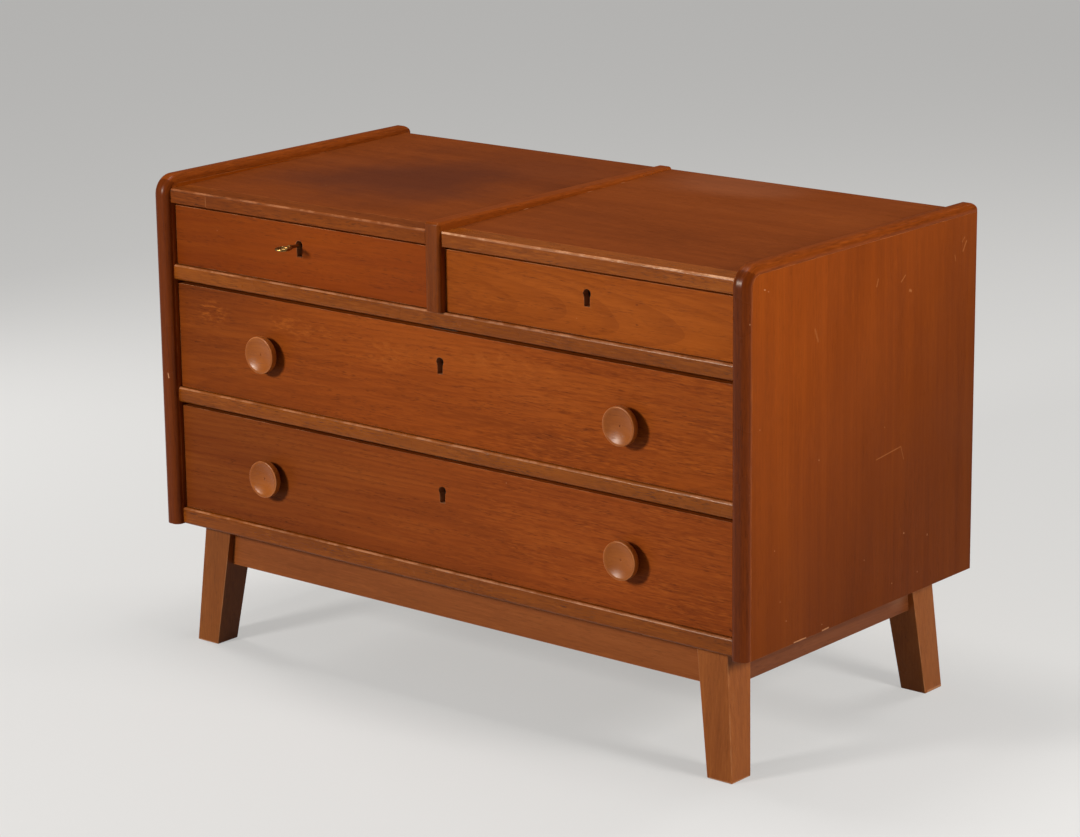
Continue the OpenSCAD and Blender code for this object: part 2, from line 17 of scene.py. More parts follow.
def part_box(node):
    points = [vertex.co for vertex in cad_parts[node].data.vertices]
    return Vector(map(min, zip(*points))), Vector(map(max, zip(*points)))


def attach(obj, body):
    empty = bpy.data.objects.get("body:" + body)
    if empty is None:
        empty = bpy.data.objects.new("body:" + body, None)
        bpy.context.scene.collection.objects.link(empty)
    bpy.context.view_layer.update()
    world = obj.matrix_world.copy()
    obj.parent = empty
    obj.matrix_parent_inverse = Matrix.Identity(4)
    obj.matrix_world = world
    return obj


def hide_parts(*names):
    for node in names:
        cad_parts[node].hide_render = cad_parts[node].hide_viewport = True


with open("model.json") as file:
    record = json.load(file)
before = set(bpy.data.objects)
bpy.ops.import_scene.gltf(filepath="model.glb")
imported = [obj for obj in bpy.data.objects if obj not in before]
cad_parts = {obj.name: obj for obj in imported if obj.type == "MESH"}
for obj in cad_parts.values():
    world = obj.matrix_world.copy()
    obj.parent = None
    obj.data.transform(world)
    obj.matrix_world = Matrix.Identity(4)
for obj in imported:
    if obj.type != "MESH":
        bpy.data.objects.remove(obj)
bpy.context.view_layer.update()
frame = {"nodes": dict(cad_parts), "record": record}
MM = 0.001

# %% [markdown]
# ## The camera
# A long lens from the right front, a little above the top. Its place and its three turns
# were worked out from the straight edges of the chest, so that the same corners fall on
# the same spots of the picture. Turning about Z, then X, then the line of sight keeps the
# three angles readable; a track-to constraint would hide the small roll.

# %% Make the camera
LENS_MM = 115.1
SENSOR_MM = 36
CAMERA_AT = (2.5734, -3.0934, 1.3695)
CAMERA_YAW = 0.6969
CAMERA_PITCH = -0.2567
CAMERA_ROLL = -0.0120

camera_data = bpy.data.cameras.new("camera")
camera_data.lens = LENS_MM
camera_data.sensor_width = SENSOR_MM
camera = bpy.data.objects.new("camera", camera_data)
bpy.context.scene.collection.objects.link(camera)
camera.matrix_world = (
    Matrix.Translation(CAMERA_AT)
    @ Matrix.Rotation(CAMERA_YAW, 4, "Z")
    @ Matrix.Rotation(math.pi / 2 + CAMERA_PITCH, 4, "X")
    @ Matrix.Rotation(CAMERA_ROLL, 4, "Z")
)
bpy.context.scene.camera = camera
print("camera at", [round(v, 3) for v in camera.location])

# %% [markdown]
# ## Small helpers for nodes
# Materials and geometry rules are both trees of nodes. Adding a node by hand takes four
# lines, so one helper adds it with its settings and wires, and another turns the colours of
# a paint chart into the linear values that the renderer works with.

# %% Colours and nodes
def linear(red, green, blue):
    """A colour from a 0-255 chart, as the renderer's linear values."""
    def one(value):
        value /= 255
        return value / 12.92 if value <= 0.04045 else ((value + 0.055) / 1.055) ** 2.4
    return (one(red), one(green), one(blue), 1.0)


def feed(tree, socket, value):
    """Wires another node's socket in, or sets a plain value."""
    if isinstance(value, bpy.types.NodeSocket):
        tree.links.new(value, socket)
    elif value is not None:
        socket.default_value = value


def add(tree, kind, settings=None, *in_order, **by_name):
    """Adds a node; its inputs are given in order or by name."""
    made = tree.nodes.new(kind)
    for key, value in (settings or {}).items():
        setattr(made, key, value)
    for socket, value in zip(made.inputs, in_order):
        feed(tree, socket, value)
    for key, value in by_name.items():
        feed(tree, made.inputs[key.replace("_", " ")], value)
    return made


print("node helpers ready")

# %% [markdown]
# A finish repeats a few phrases: a product of shares, a smooth step from one value to
# another, the distance from the middle of a patch. Each becomes a short call.

# %% Phrases of a finish
class Graph:
    """A material's node tree, with short calls for what wood and metal need."""

    def __init__(self, name):
        self.material = bpy.data.materials.new(name)
        self.material.use_nodes = True
        self.tree = self.material.node_tree
        self.tree.nodes.clear()
        self.shader = self.node("ShaderNodeBsdfPrincipled")
        self.node("ShaderNodeOutputMaterial", None, self.shader.outputs[0])

    def node(self, kind, settings=None, *in_order, **by_name):
        return add(self.tree, kind, settings, *in_order, **by_name)

    def look(self, name, value):
        """Sets or wires one input of the shader."""
        feed(self.tree, self.shader.inputs[name], value)

    def attribute(self, name, output="Fac"):
        return self.node("ShaderNodeAttribute", {"attribute_name": name}).outputs[output]

    def place(self, vector, scale=(1, 1, 1), shift=(0, 0, 0), turn=(0, 0, 0)):
        return self.node("ShaderNodeMapping", None, vector, shift, turn, scale).outputs[0]

    def noise(self, vector, scale=1.0, detail=3.0, roughness=0.5):
        made = self.node("ShaderNodeTexNoise", None, Vector=vector, Scale=scale, Detail=detail,
                         Roughness=roughness)
        return made.outputs["Fac"]

    def math(self, operation, first, second, clamp=False):
        settings = {"operation": operation, "use_clamp": clamp}
        return self.node("ShaderNodeMath", settings, first, second).outputs[0]

    def vector(self, operation, first, second=None, third=None, scale=None):
        """Vector maths; a length, a distance and a dot product give one number."""
        made = self.node("ShaderNodeVectorMath", {"operation": operation}, first, second,
                         third, scale)
        single = operation in ("LENGTH", "DISTANCE", "DOT_PRODUCT")
        return made.outputs["Value" if single else "Vector"]

    def product(self, first, *others):
        for other in others:
            first = self.math("MULTIPLY", first, other)
        return first

    def range(self, value, low, high, to_low=0.0, to_high=1.0):
        """Goes smoothly from to_low to to_high while the value goes from low to high."""
        made = self.node("ShaderNodeMapRange", {"interpolation_type": "SMOOTHSTEP"},
                         value, low, high, to_low, to_high)
        return made.outputs[0]

    def between(self, place, start, end):
        """0 at start, 1 at end, and smooth on the way."""
        step = Vector(end) - Vector(start)
        far = self.vector("DOT_PRODUCT", place, step / step.length_squared)
        begin = Vector(start).dot(step) / step.length_squared
        return self.range(far, begin, begin + 1)

    def away(self, place, centre, reach):
        """0 in the middle of an oval patch, 1 at its rim, and more outside."""
        shift = tuple(-c / v for c, v in zip(centre, reach))
        return self.vector("LENGTH", self.place(place, tuple(1 / v for v in reach), shift))

    def drift(self, vector, grain, scale, detail, reach):
        """The vector, pushed aside by up to reach, by a noise of that scale."""
        push = self.node("ShaderNodeTexNoise", None, Vector=self.place(grain, scale),
                         Scale=1.0, Detail=detail)
        return self.vector("MULTIPLY_ADD", push.outputs["Color"], reach, vector)

    def mix(self, share, first, second):
        """The first colour where share is 0, the second where it is 1."""
        made = self.node("ShaderNodeMix", {"data_type": "RGBA"}, share)
        feed(self.tree, made.inputs[6], first)
        feed(self.tree, made.inputs[7], second)
        return made.outputs[2]

    def bump(self, height, strength, distance):
        return self.node("ShaderNodeBump", None, Strength=strength, Distance=distance,
                         Height=height).outputs[0]


print("phrases ready")

# %% [markdown]
# ## Wood
# Wood is a solid with a direction, not a picture on a surface. Every board carries its own
# grain coordinates: metres along the fibres, across them and through the board, each board
# shifted to its own part of the tree. A second set says where the heart of the tree lay,
# so that growth rings come out straight in one board and as pointed arches in another.
# The colour is built in the order in which the eye finds it, with a helper for each layer.
#
# The ground colour comes first. It wanders between light, mid and dark, driven by three
# noises that are stretched along the fibres: clouds as wide as a hand, streaks as wide as
# a finger and threads of a millimetre or two. A low scale along the grain and a high one
# across it make long, thin shapes.

# %% Ground colour
CLOUD_SCALE = (1.6, 8, 8)
STREAK_SCALE = (2.5, 70, 70)
THREAD_SCALE = (9, 420, 420)
CONTRAST = 2.4


def ground(g, grain, tones, mottle, streaks, threads):
    """The ground colour, with the clouds and threads that later layers follow."""
    clouds = g.noise(g.place(grain, CLOUD_SCALE), roughness=0.6)
    broad = g.noise(g.place(grain, STREAK_SCALE), roughness=0.55)
    fine = g.noise(g.place(grain, THREAD_SCALE), detail=4, roughness=0.6)

    def swing(layer, share):
        return g.product(g.math("SUBTRACT", layer, 0.5), share * CONTRAST)

    tone = g.math("ADD", swing(clouds, mottle), swing(broad, streaks))
    tone = g.math("ADD", tone, swing(fine, threads))
    light, mid, dark = tones
    tone = g.math("ADD", tone, 0.5, clamp=True)
    ramp = g.node("ShaderNodeValToRGB", None, tone)
    ramp.color_ramp.elements[0].color = dark
    ramp.color_ramp.elements[1].color = light
    ramp.color_ramp.elements.new(0.5).color = mid
    return ramp.outputs[0], clouds, fine


print("ground colour ready")

# %% [markdown]
# Growth rings are circles round the heart of the tree. A saw-shaped wave gives each ring
# its slow darkening and its sudden end, where a plain sine wave would look like ripples. A
# soft noise bends the circles, because no trunk is quite round, and the rings grow faint
# where the clouds are thin.

# %% Growth rings
SWAY_SCALE = (2.5, 11, 11)
SWAY_REACH = (0.0, 0.012, 0.012)
WAVES_PER_UNIT = 20


def growth_rings(g, colour, grain, clouds, dark, rings, ring_gap):
    """Darkens the colour along rings that lie ring_gap metres apart."""
    bent = g.drift(g.attribute("heart", "Vector"), grain, SWAY_SCALE, 2.0, SWAY_REACH)
    wave = g.node("ShaderNodeTexWave",
                  {"wave_type": "RINGS", "rings_direction": "X", "wave_profile": "SAW"},
                  Vector=bent, Scale=math.tau / WAVES_PER_UNIT / ring_gap, Distortion=0.0)
    lines = g.range(wave.outputs["Fac"], 0.35, 1.0)
    strength = g.range(clouds, 0.35, 0.6, 0.45, 1.0)
    return g.mix(g.product(lines, strength, rings), colour, dark)


print("growth rings ready")

# %% [markdown]
# Teak is full of short flecks, light and dark, and of open pores that look like pencil
# dashes a few millimetres long. Both follow fibres that waver slightly. The flecks come in
# patches, and on a wide front they are livelier towards one end.

# %% Flecks and pores
WARP_SCALE = (14, 60, 60)
WARP_REACH = (0.0, 0.006, 0.006)
FLECK_SCALE = (52, 520, 520)
FLECK_SHARE = 0.8
PATCH_SCALE = (11, 36, 36)
PORE_SCALE = (80, 1300, 1300)
PORE_GROUPS = (8, 120, 120)
PORE_DEPTH = 0.35


def flecks_and_pores(g, colour, grain, place, tones, flecks, pores, lively):
    """Adds flecks and pores; also returns the mask of the pores."""
    light, dark = tones
    wavy = g.drift(grain, grain, WARP_SCALE, 1.0, WARP_REACH)
    dots = g.noise(g.place(wavy, FLECK_SCALE), detail=2, roughness=0.55)
    patches = g.noise(g.place(grain, PATCH_SCALE, (5, 2, 9)), roughness=0.6)
    strength = g.range(patches, 0.36, 0.62, 0.45, 1.25)
    if lively:
        strength = g.product(strength, g.range(g.between(place, *lively), 0, 1, 0.3, 1))
    for low, high, tint in ((0.52, 0.30, light), (0.50, 0.76, dark)):
        share = g.product(g.range(dots, low, high), strength, flecks * FLECK_SHARE)
        colour = g.mix(share, colour, tint)
    dashes = g.noise(g.place(wavy, PORE_SCALE, (7, 3, 5)), detail=1)
    where = g.noise(g.place(grain, PORE_GROUPS, (3, 1, 2)), detail=2)
    mask = g.product(g.range(dashes, 0.56, 0.70), g.range(where, 0.38, 0.62))
    deep = tuple(v * PORE_DEPTH for v in dark[:3]) + (1.0,)
    return g.mix(g.product(mask, pores), colour, deep), mask


print("flecks and pores ready")

# %% [markdown]
# Three more layers follow. One end of a board is darker: on the side panels, the centre
# divider and the legs this is painted shade, where less light reaches them. A stain has a soft
# and ragged edge, and a few places show curly figure, where the fibres once grew round a
# branch. All three sit at fixed places on the chest, so they read Object coordinates: left to
# chance, a stain would never fall where the real one is.

# %% Darkening, stains and curls
CURL_SCALE = (70, 70, 240)
CURL_TURN = (0, 0.9, 0)
CURL_TONE = linear(176, 92, 30)
CURL_SHARE = 0.55


def darkening_stains_and_curls(g, colour, place, gradual_darkening, stains, curls):
    """Darkens towards one end, which is painted shade on some boards, then adds stains and
    curly figure at their places.
    """
    if gradual_darkening:
        start, end, depth = gradual_darkening
        loss = g.product(g.between(place, start, end), depth)
        colour = g.mix(g.math("SUBTRACT", 1.0, loss), (0, 0, 0, 1), colour)
    ragged = g.noise(place, scale=9, detail=4, roughness=0.6)
    for centre, reach, tint, amount in stains:
        level = g.math("ADD", g.away(place, centre, reach), g.product(ragged, 1.1))
        share = g.product(g.range(level, 1.7, 0.75), amount)
        colour = g.mix(share, colour, linear(*tint))
    for centre, reach in curls:
        inside = g.range(g.math("ADD", g.away(place, centre, reach), ragged), 1.35, 0.8)
        curl = g.noise(g.place(place, CURL_SCALE, turn=CURL_TURN), detail=4, roughness=0.65)
        share = g.product(inside, g.range(curl, 0.46, 0.66), CURL_SHARE)
        colour = g.mix(share, colour, CURL_TONE)
    return colour


print("ageing ready")

# %% [markdown]
# A scratch is a short straight line with a ragged edge. The shader finds the nearest point
# of the line, measures how far away it is and paints what lies within the scratch's width.
# An image could carry the scratches too, but a line stays sharp at any size. A chip is the
# same thing with almost no length.

# %% Scratches and chips
def scratched(g, colour, place, marks):
    """Paints each mark: start, end, width, colour and strength."""
    for start, end, width, tint, amount in marks:
        along = Vector(end) - Vector(start)
        line = along.normalized()
        offset = g.vector("SUBTRACT", place, start)
        run = g.vector("DOT_PRODUCT", offset, line)
        held = g.node("ShaderNodeClamp", None, Value=run, Min=0.0, Max=along.length)
        foot = g.vector("SCALE", line, scale=held.outputs[0])
        ragged = g.product(g.noise(place, scale=400, detail=2), width)
        gap = g.math("ADD", g.vector("DISTANCE", offset, foot), ragged)
        near = g.range(gap, width * 1.4, width * 0.7)
        colour = g.mix(g.product(near, amount), colour, linear(*tint))
    return colour


print("scratches ready")

# %% [markdown]
# Wear follows where corners were rubbed: each board's "edge" value marks them, and a noise
# leaves some of the finish on. On the rails, the strips of the tops, the drawer fronts and the
# knobs, the paler edge colour is also a painted highlight. Tiny pale specks lie here and
# there. They could be a finer noise, but a texture of cells keeps each one round and alone,
# and the random colour of a cell decides which few have one.

# %% Rubbed and highlit corners, and specks
SPECK_TONE = linear(190, 135, 90)
SPECKS_PER_METRE = 34.0


def worn_and_highlit_edges(g, colour, grain, worn, edge_wear_and_highlight, specks):
    """Lightens worn edges, partly as a painted highlight, and adds specks; also returns the
    worn edge.
    """
    rub = g.noise(grain, scale=28, detail=4, roughness=0.7)
    edge = g.product(g.attribute("edge"), g.range(rub, 0.42, 0.62, 0.25, 1.0))
    colour = g.mix(g.product(edge, edge_wear_and_highlight), colour, worn)
    if specks:
        cell = g.node("ShaderNodeTexVoronoi", None, Vector=g.place(grain),
                      Scale=SPECKS_PER_METRE)
        near = g.range(cell.outputs["Distance"], 0.035, 0.02)
        few = g.range(g.noise(cell.outputs["Color"], scale=7.3, detail=0), 0.60, 0.64)
        colour = g.mix(g.product(near, few, specks), colour, SPECK_TONE)
    return colour, edge


print("wear ready")

# %% [markdown]
# Last comes the lacquer. It is duller over the pores, which it fills only in part, and on
# rubbed corners. The relief is a tenth of a millimetre at most: deep enough to break up a
# highlight, too shallow to be a shape.

# %% Lacquer
PORE_DULLS = 0.12
EDGE_DULLS = 0.06
RELIEF_STRENGTH = 0.35
RELIEF_DEPTH = 0.1 * MM


def lacquer(g, grain, fine, pore_mask, edge, rough, shine):
    """Sets the roughness, the gloss and the relief."""
    patchy = g.noise(grain, scale=7, detail=4, roughness=0.6)
    level = g.range(patchy, 0.3, 0.7, rough - 0.06, rough + 0.08)
    level = g.math("ADD", level, g.product(pore_mask, PORE_DULLS))
    level = g.math("ADD", level, g.product(edge, EDGE_DULLS), clamp=True)
    g.look("Roughness", level)
    g.look("Specular IOR Level", shine)
    relief = g.math("SUBTRACT", g.product(fine, 0.3), pore_mask)
    g.look("Normal", g.bump(relief, RELIEF_STRENGTH, RELIEF_DEPTH))


print("lacquer ready")

# %% [markdown]
# The recipe puts the layers together. Its numbers are shares from 0 to 1: how strong the
# rings, streaks, flecks and pores are, how rough and how shiny the lacquer is, and how far the
# corners are worn. Colours are given as on a paint chart, light, mid, dark and worn; on some
# woods the worn colour is also a painted highlight along rounded edges. Raw wood inside a hole
# has its own colour.

# %% The wood recipe
RAW_HOLE = linear(158, 100, 62)


def wood(name, light, mid, dark, worn, rings=0.35, ring_gap=0.004, streaks=0.2, flecks=0.5,
         pores=0.5, mottle=0.5, rough=0.36, shine=0.06, edge_wear_and_highlight=0.7, specks=0.0,
         threads=None, stains=(), marks=(), curls=(), gradual_darkening=None, lively=None):
    """A wood with all its layers; threads are as strong as streaks unless given."""
    light, mid, dark, worn = (linear(*chart) for chart in (light, mid, dark, worn))
    g = Graph(name)
    grain = g.attribute("grain", "Vector")
    place = g.node("ShaderNodeTexCoord").outputs["Object"]
    threads = streaks if threads is None else threads
    colour, clouds, fine = ground(g, grain, (light, mid, dark), mottle, streaks, threads)
    colour = growth_rings(g, colour, grain, clouds, dark, rings, ring_gap)
    colour, pore_mask = flecks_and_pores(g, colour, grain, place, (light, dark), flecks,
                                         pores, lively)
    colour = darkening_stains_and_curls(g, colour, place, gradual_darkening, stains, curls)
    colour = scratched(g, colour, place, marks)
    colour, edge = worn_and_highlit_edges(g, colour, grain, worn, edge_wear_and_highlight, specks)
    colour = g.mix(g.attribute("hollow"), colour, RAW_HOLE)
    g.look("Base Color", colour)
    lacquer(g, grain, fine, pore_mask, edge, rough, shine)
    return g.material


print("wood recipe ready")

# %% [markdown]
# ## Veneers of the four fronts
# The fronts are flat-cut veneer, quiet at the left and flecked at the right, each from its
# own leaf. The left small one is the reddest, the right small one the most golden, and the
# wide ones darken towards the left. One shared material would make all four match, and on
# the real chest they don't.

# %% The fronts
WORN_TEAK = (186, 108, 58)
# The drawer fronts' broken edges are painted paler, partly as wear and partly as a painted
# highlight.
FRONT_WEAR_AND_HIGHLIGHT = (222, 158, 112)
FRONT_Y = -0.198
WIDE_LIVELY = ((-0.15, 0, 0), (0.3, 0, 0))
SMALL_SPOTS = [((0.289, FRONT_Y, z), (0.291, FRONT_Y, z), 0.0015, (96, 38, 14), 0.6)
               for z in (0.529, 0.5065)]
LOWER_SPOTS = (
    ((0.425, FRONT_Y, 0.290), (0.429, FRONT_Y, 0.288), 0.0016, (60, 20, 10), 0.7),
    ((0.418, FRONT_Y, 0.181), (0.424, FRONT_Y, 0.179), 0.0018, (50, 16, 10), 0.7),
)
CURL_PLACES = (((-0.37, FRONT_Y, 0.43), (0.05, 0.05, 0.025)),
               ((-0.22, FRONT_Y, 0.43), (0.10, 0.05, 0.022)),
               ((-0.08, FRONT_Y, 0.42), (0.06, 0.05, 0.03)),
               ((0.10, FRONT_Y, 0.432), (0.11, 0.05, 0.022)))


def across(start_x, end_x, depth):
    """A darkening along the width of the chest."""
    return ((start_x, 0, 0), (end_x, 0, 0), depth)


small_left_teak = wood(
    "small_left_teak", (153, 70, 12), (133, 55, 7), (107, 42, 4), FRONT_WEAR_AND_HIGHLIGHT, streaks=0.22,
    flecks=0.25, rings=0.12, specks=0.3, gradual_darkening=across(-0.15, -0.42, 0.2))
small_right_teak = wood(
    "small_right_teak", (184, 94, 27), (160, 77, 17), (125, 54, 10), FRONT_WEAR_AND_HIGHLIGHT,
    flecks=0.35, rings=0.32, specks=0.3, marks=SMALL_SPOTS, gradual_darkening=across(0.40, 0.02, 0.12))
wide_upper_teak = wood(
    "wide_upper_teak", (178, 90, 27), (148, 68, 17), (100, 41, 9), FRONT_WEAR_AND_HIGHLIGHT, flecks=0.62,
    rings=0.2, specks=0.3, curls=CURL_PLACES, lively=WIDE_LIVELY,
    gradual_darkening=across(-0.05, -0.42, 0.3))
wide_lower_teak = wood(
    "wide_lower_teak", (180, 93, 32), (151, 70, 21), (103, 42, 11), FRONT_WEAR_AND_HIGHLIGHT, flecks=0.5,
    rings=0.22, specks=0.4, marks=LOWER_SPOTS, lively=WIDE_LIVELY,
    gradual_darkening=across(0.25, -0.42, 0.43))
print("made the veneers of the four fronts")

# %% [markdown]
# ## The side panels
# The side panels are quartered veneer, a little redder than the wide fronts. Their colour is
# painted darker towards the back and the bottom, as painted shade where less light falls, so
# they are palest at the top front. The right one carries the marks of its years: a long thin
# scratch, a few dull scuffs and many tiny chips. Each row is one mark: its start and end as y
# and z, its width and its strength.

# %% Side panels
SIDE_X = 0.450
PALE_MARK = (176, 108, 58)
CHIP = (200, 140, 96)
SCUFFS = (
    (0.035, 0.329, 0.083, 0.334, 0.0009, 0.5),
    (0.084, 0.334, 0.090, 0.318, 0.0009, 0.35),
    (0.097, 0.514, 0.100, 0.513, 0.0026, 0.6),
    (0.080, 0.527, 0.088, 0.533, 0.0012, 0.55),
    (0.031, 0.530, 0.034, 0.538, 0.0012, 0.6),
    (0.206, 0.541, 0.213, 0.552, 0.0013, 0.6),
    (0.204, 0.552, 0.209, 0.557, 0.0010, 0.5),
    (0.189, 0.539, 0.191, 0.532, 0.0010, 0.45),
    (-0.087, 0.503, -0.081, 0.489, 0.0022, 0.3),
)
CHIPS = (
    (0.0927, 0.2292, 0.0931, 0.2288, 0.0014, 0.7),
    (0.1415, 0.2165, 0.1415, 0.2150, 0.0011, 0.5),
    (0.0130, 0.2159, 0.0134, 0.2157, 0.0011, 0.5),
    (-0.1373, 0.1824, -0.1373, 0.1820, 0.0010, 0.6),
    (-0.1489, 0.2073, -0.1489, 0.2068, 0.0009, 0.5),
    (-0.1597, 0.2684, -0.1597, 0.2681, 0.0010, 0.6),
    (0.1218, 0.1756, 0.1218, 0.1752, 0.0011, 0.5),
    (-0.122, 0.1530, -0.100, 0.1530, 0.0012, 0.7),
    (-0.068, 0.1530, -0.056, 0.1535, 0.0013, 0.7),
    (-0.181, 0.5642, -0.179, 0.5638, 0.0012, 0.6),
    (-0.174, 0.5612, -0.173, 0.5608, 0.0010, 0.5),
    (-0.188, 0.4112, -0.188, 0.4108, 0.0011, 0.5),
)
SIDE_MARKS = [((SIDE_X, y0, z0), (SIDE_X, y1, z1), width, tint, amount)
              for tint, rows in ((PALE_MARK, SCUFFS), (CHIP, CHIPS))
              for y0, z0, y1, z1, width, amount in rows]
# The darkening of side_teak towards the back and the bottom is painted shade.
side_teak = wood(
    "side_teak", (162, 77, 17), (139, 62, 11), (108, 45, 7), WORN_TEAK, rings=0.12,
    streaks=0.24, threads=0.1, flecks=0.2, pores=0.2, mottle=0.4, shine=0.04, specks=0.6,
    marks=SIDE_MARKS, gradual_darkening=((SIDE_X, -0.18, 0.56), (SIDE_X, 0.10, 0.16), 0.49))
print("side marks:", len(SIDE_MARKS))

# %% [markdown]
# ## The tops
# The tops have darkened with years of use. The left one has a big dark bloom, as from a damp
# cloth or a warm lamp, and the right one a paler patch at the back and a few chips along the
# divider. Both look as if cut from one sheet, so they share their tones and finish and differ
# only in what happened to them.

# %% Tops
TOP_TONES = ((142, 70, 26), (124, 58, 19), (96, 42, 12))
TOP_FINISH = {"rings": 0.15, "flecks": 0.35, "pores": 0.3, "rough": 0.45, "specks": 0.5}
TOP_MARKS = (
    ((0.012, -0.058, 0.580), (0.012, -0.051, 0.580), 0.0014, CHIP, 0.7),
    ((0.012, 0.062, 0.582), (0.012, 0.069, 0.582), 0.0014, CHIP, 0.7),
    ((0.012, 0.126, 0.583), (0.012, 0.131, 0.583), 0.0014, CHIP, 0.6),
)
# A paler patch at the back of the right top.
PALE_BACK_PATCH = (((0.13, 0.19, 0.584), (0.12, 0.07, 0.5), (150, 94, 66), 0.26),)
top_teak = wood("top_teak", *TOP_TONES, WORN_TEAK, marks=TOP_MARKS, stains=PALE_BACK_PATCH,
                **TOP_FINISH)
BLOOM = (82, 40, 25)
STAINS = (
    ((-0.225, -0.015, 0.580), (0.20, 0.15, 0.5), BLOOM, 0.72),
    ((-0.120, 0.140, 0.584), (0.22, 0.13, 0.5), BLOOM, 0.35),
)
stained_teak = wood("stained_teak", *TOP_TONES, WORN_TEAK, stains=STAINS, **TOP_FINISH)
print("tops:", top_teak.name, stained_teak.name)

# %% [markdown]
# ## Rails and edge strips
# Rails and edge strips are solid wood, so their pores show more, and their polished corners
# shine; the rounded upper front corners of the rails and the top strips are painted paler,
# partly as wear and partly as a painted highlight. The right top's strip is the lightest. The
# left top's strip is darker and made of two lengths: a pale line down its face and a dark one
# across its top are the joint. The upright strips are the darkest of all, and their runs along
# the tops are paler, partly as wear and partly as painted light from above. What they share
# stands in one set of values, and each strip adds its own.

# %% Rails and strips
# The paler colour of the rounded upper front corners is partly wear and partly a painted
# highlight.
RAIL_WEAR_AND_HIGHLIGHT = (206, 140, 96)
SOLID = {"rings": 0.15, "flecks": 0.6, "pores": 0.8, "specks": 0.6}
solid_teak = wood(
    "solid_teak", (154, 82, 21), (134, 66, 13), (98, 45, 9), RAIL_WEAR_AND_HIGHLIGHT, rough=0.24,
    shine=0.14, edge_wear_and_highlight=0.65, **SOLID)
LIP_MARKS = (((0.0712, -0.2035, 0.5722), (0.0728, -0.2035, 0.5718), 0.0016, CHIP, 0.9),)
# The right top's strip has the palest rounded corner, partly wear and partly a painted
# highlight.
lip_teak = wood(
    "lip_teak", (169, 92, 29), (148, 75, 20), (107, 50, 13), (234, 176, 132), rough=0.24,
    shine=0.14, edge_wear_and_highlight=0.85, marks=LIP_MARKS, **SOLID)
JOINT_X = -0.367
JOINT_MARKS = (
    ((JOINT_X, -0.2053, 0.562), (JOINT_X, -0.2053, 0.574), 0.0006, (176, 112, 66), 0.6),
    ((JOINT_X, -0.200, 0.578), (JOINT_X, -0.176, 0.578), 0.0006, (60, 28, 14), 0.5),
)
jointed_teak = wood(
    "jointed_teak", (144, 72, 22), (122, 57, 14), (86, 37, 9), RAIL_WEAR_AND_HIGHLIGHT, rough=0.36,
    shine=0.08, edge_wear_and_highlight=0.4, marks=JOINT_MARKS, **SOLID)
# strip_teak is the run along the tops of the side panels and the divider: paler than the
# uprights, partly as wear and partly as painted light from above.
strip_teak = wood(
    "strip_teak", (150, 73, 22), (130, 58, 13), (94, 39, 8), WORN_TEAK, rings=0.1, flecks=0.5,
    pores=0.5, rough=0.32, shine=0.09, edge_wear_and_highlight=0.4, specks=0.5)
UPRIGHT = {"rings": 0.15, "flecks": 0.4, "pores": 0.4, "specks": 0.6}
STRIP_MARKS = (
    ((-0.4355, -0.2130, 0.346), (-0.4345, -0.2130, 0.341), 0.0014, CHIP, 0.8),
    ((0.4490, -0.2060, 0.3422), (0.4490, -0.2060, 0.3415), 0.0011, CHIP, 0.8),
    ((0.4490, -0.2060, 0.3335), (0.4490, -0.2060, 0.3330), 0.0011, CHIP, 0.8),
    ((0.4500, -0.2065, 0.5312), (0.4500, -0.2065, 0.5308), 0.0011, CHIP, 0.8),
)
bullnose_teak = wood(
    "bullnose_teak", (122, 54, 11), (102, 42, 7), (70, 27, 4), WORN_TEAK, rough=0.3,
    shine=0.1, edge_wear_and_highlight=0.3, marks=STRIP_MARKS, **UPRIGHT)
divider_teak = wood(
    "divider_teak", (136, 66, 14), (116, 52, 9), (82, 35, 6), WORN_TEAK, rough=0.28,
    shine=0.12, edge_wear_and_highlight=0.4, **UPRIGHT)
print("rails and strips ready")

# %% [markdown]
# ## The woods of the base
# The legs are a paler, more golden batch, and their colour is painted darker away from the
# front right leg, as painted shade under and behind the case. The long aprons are a little
# darker, and the side aprons are brown, with veneer lost near the right back leg. Feet scuff
# on floors, so their lowest edges are pale. That wear is painted: it is too thin to change the
# shape.

# %% Base
LEG_MARKS = (
    ((0.4155, -0.195, 0.070), (0.4165, -0.195, 0.060), 0.0010, CHIP, 0.7),
    ((0.388, -0.1945, 0.001), (0.417, -0.1945, 0.001), 0.0013, CHIP, 0.6),
    ((0.4190, -0.193, 0.001), (0.4190, -0.164, 0.001), 0.0013, CHIP, 0.6),
    ((0.4190, 0.196, 0.002), (0.4190, 0.224, 0.002), 0.0018, CHIP, 0.6),
    ((-0.417, -0.1945, 0.001), (-0.388, -0.1945, 0.001), 0.0012, CHIP, 0.5),
)
RUBBED_BASE = (200, 138, 92)
BASE = {"rings": 0.15, "flecks": 0.28, "pores": 0.3, "specks": 0.5, "rough": 0.32,
        "shine": 0.1, "edge_wear_and_highlight": 0.35}
# The darkening of base_teak away from the front right leg is painted shade under the case.
base_teak = wood(
    "base_teak", (178, 105, 51), (157, 87, 38), (122, 62, 25), RUBBED_BASE, marks=LEG_MARKS,
    gradual_darkening=((0.42, -0.2, 0), (0.094, 0.2, 0), 0.29), **BASE)
apron_teak = wood(
    "apron_teak", (165, 94, 45), (146, 78, 34), (112, 55, 21), RUBBED_BASE,
    gradual_darkening=across(0.4, -0.4, 0.06), **BASE)
LOST_VENEER = (((0.42, 0.158, 0.137), (0.3, 0.030, 0.025), (150, 102, 72), 0.6),)
side_apron_teak = wood(
    "side_apron_teak", (132, 74, 40), (116, 61, 30), (90, 44, 20), RUBBED_BASE,
    stains=LOST_VENEER, **BASE)
print("base:", base_teak.name, apron_teak.name, side_apron_teak.name)

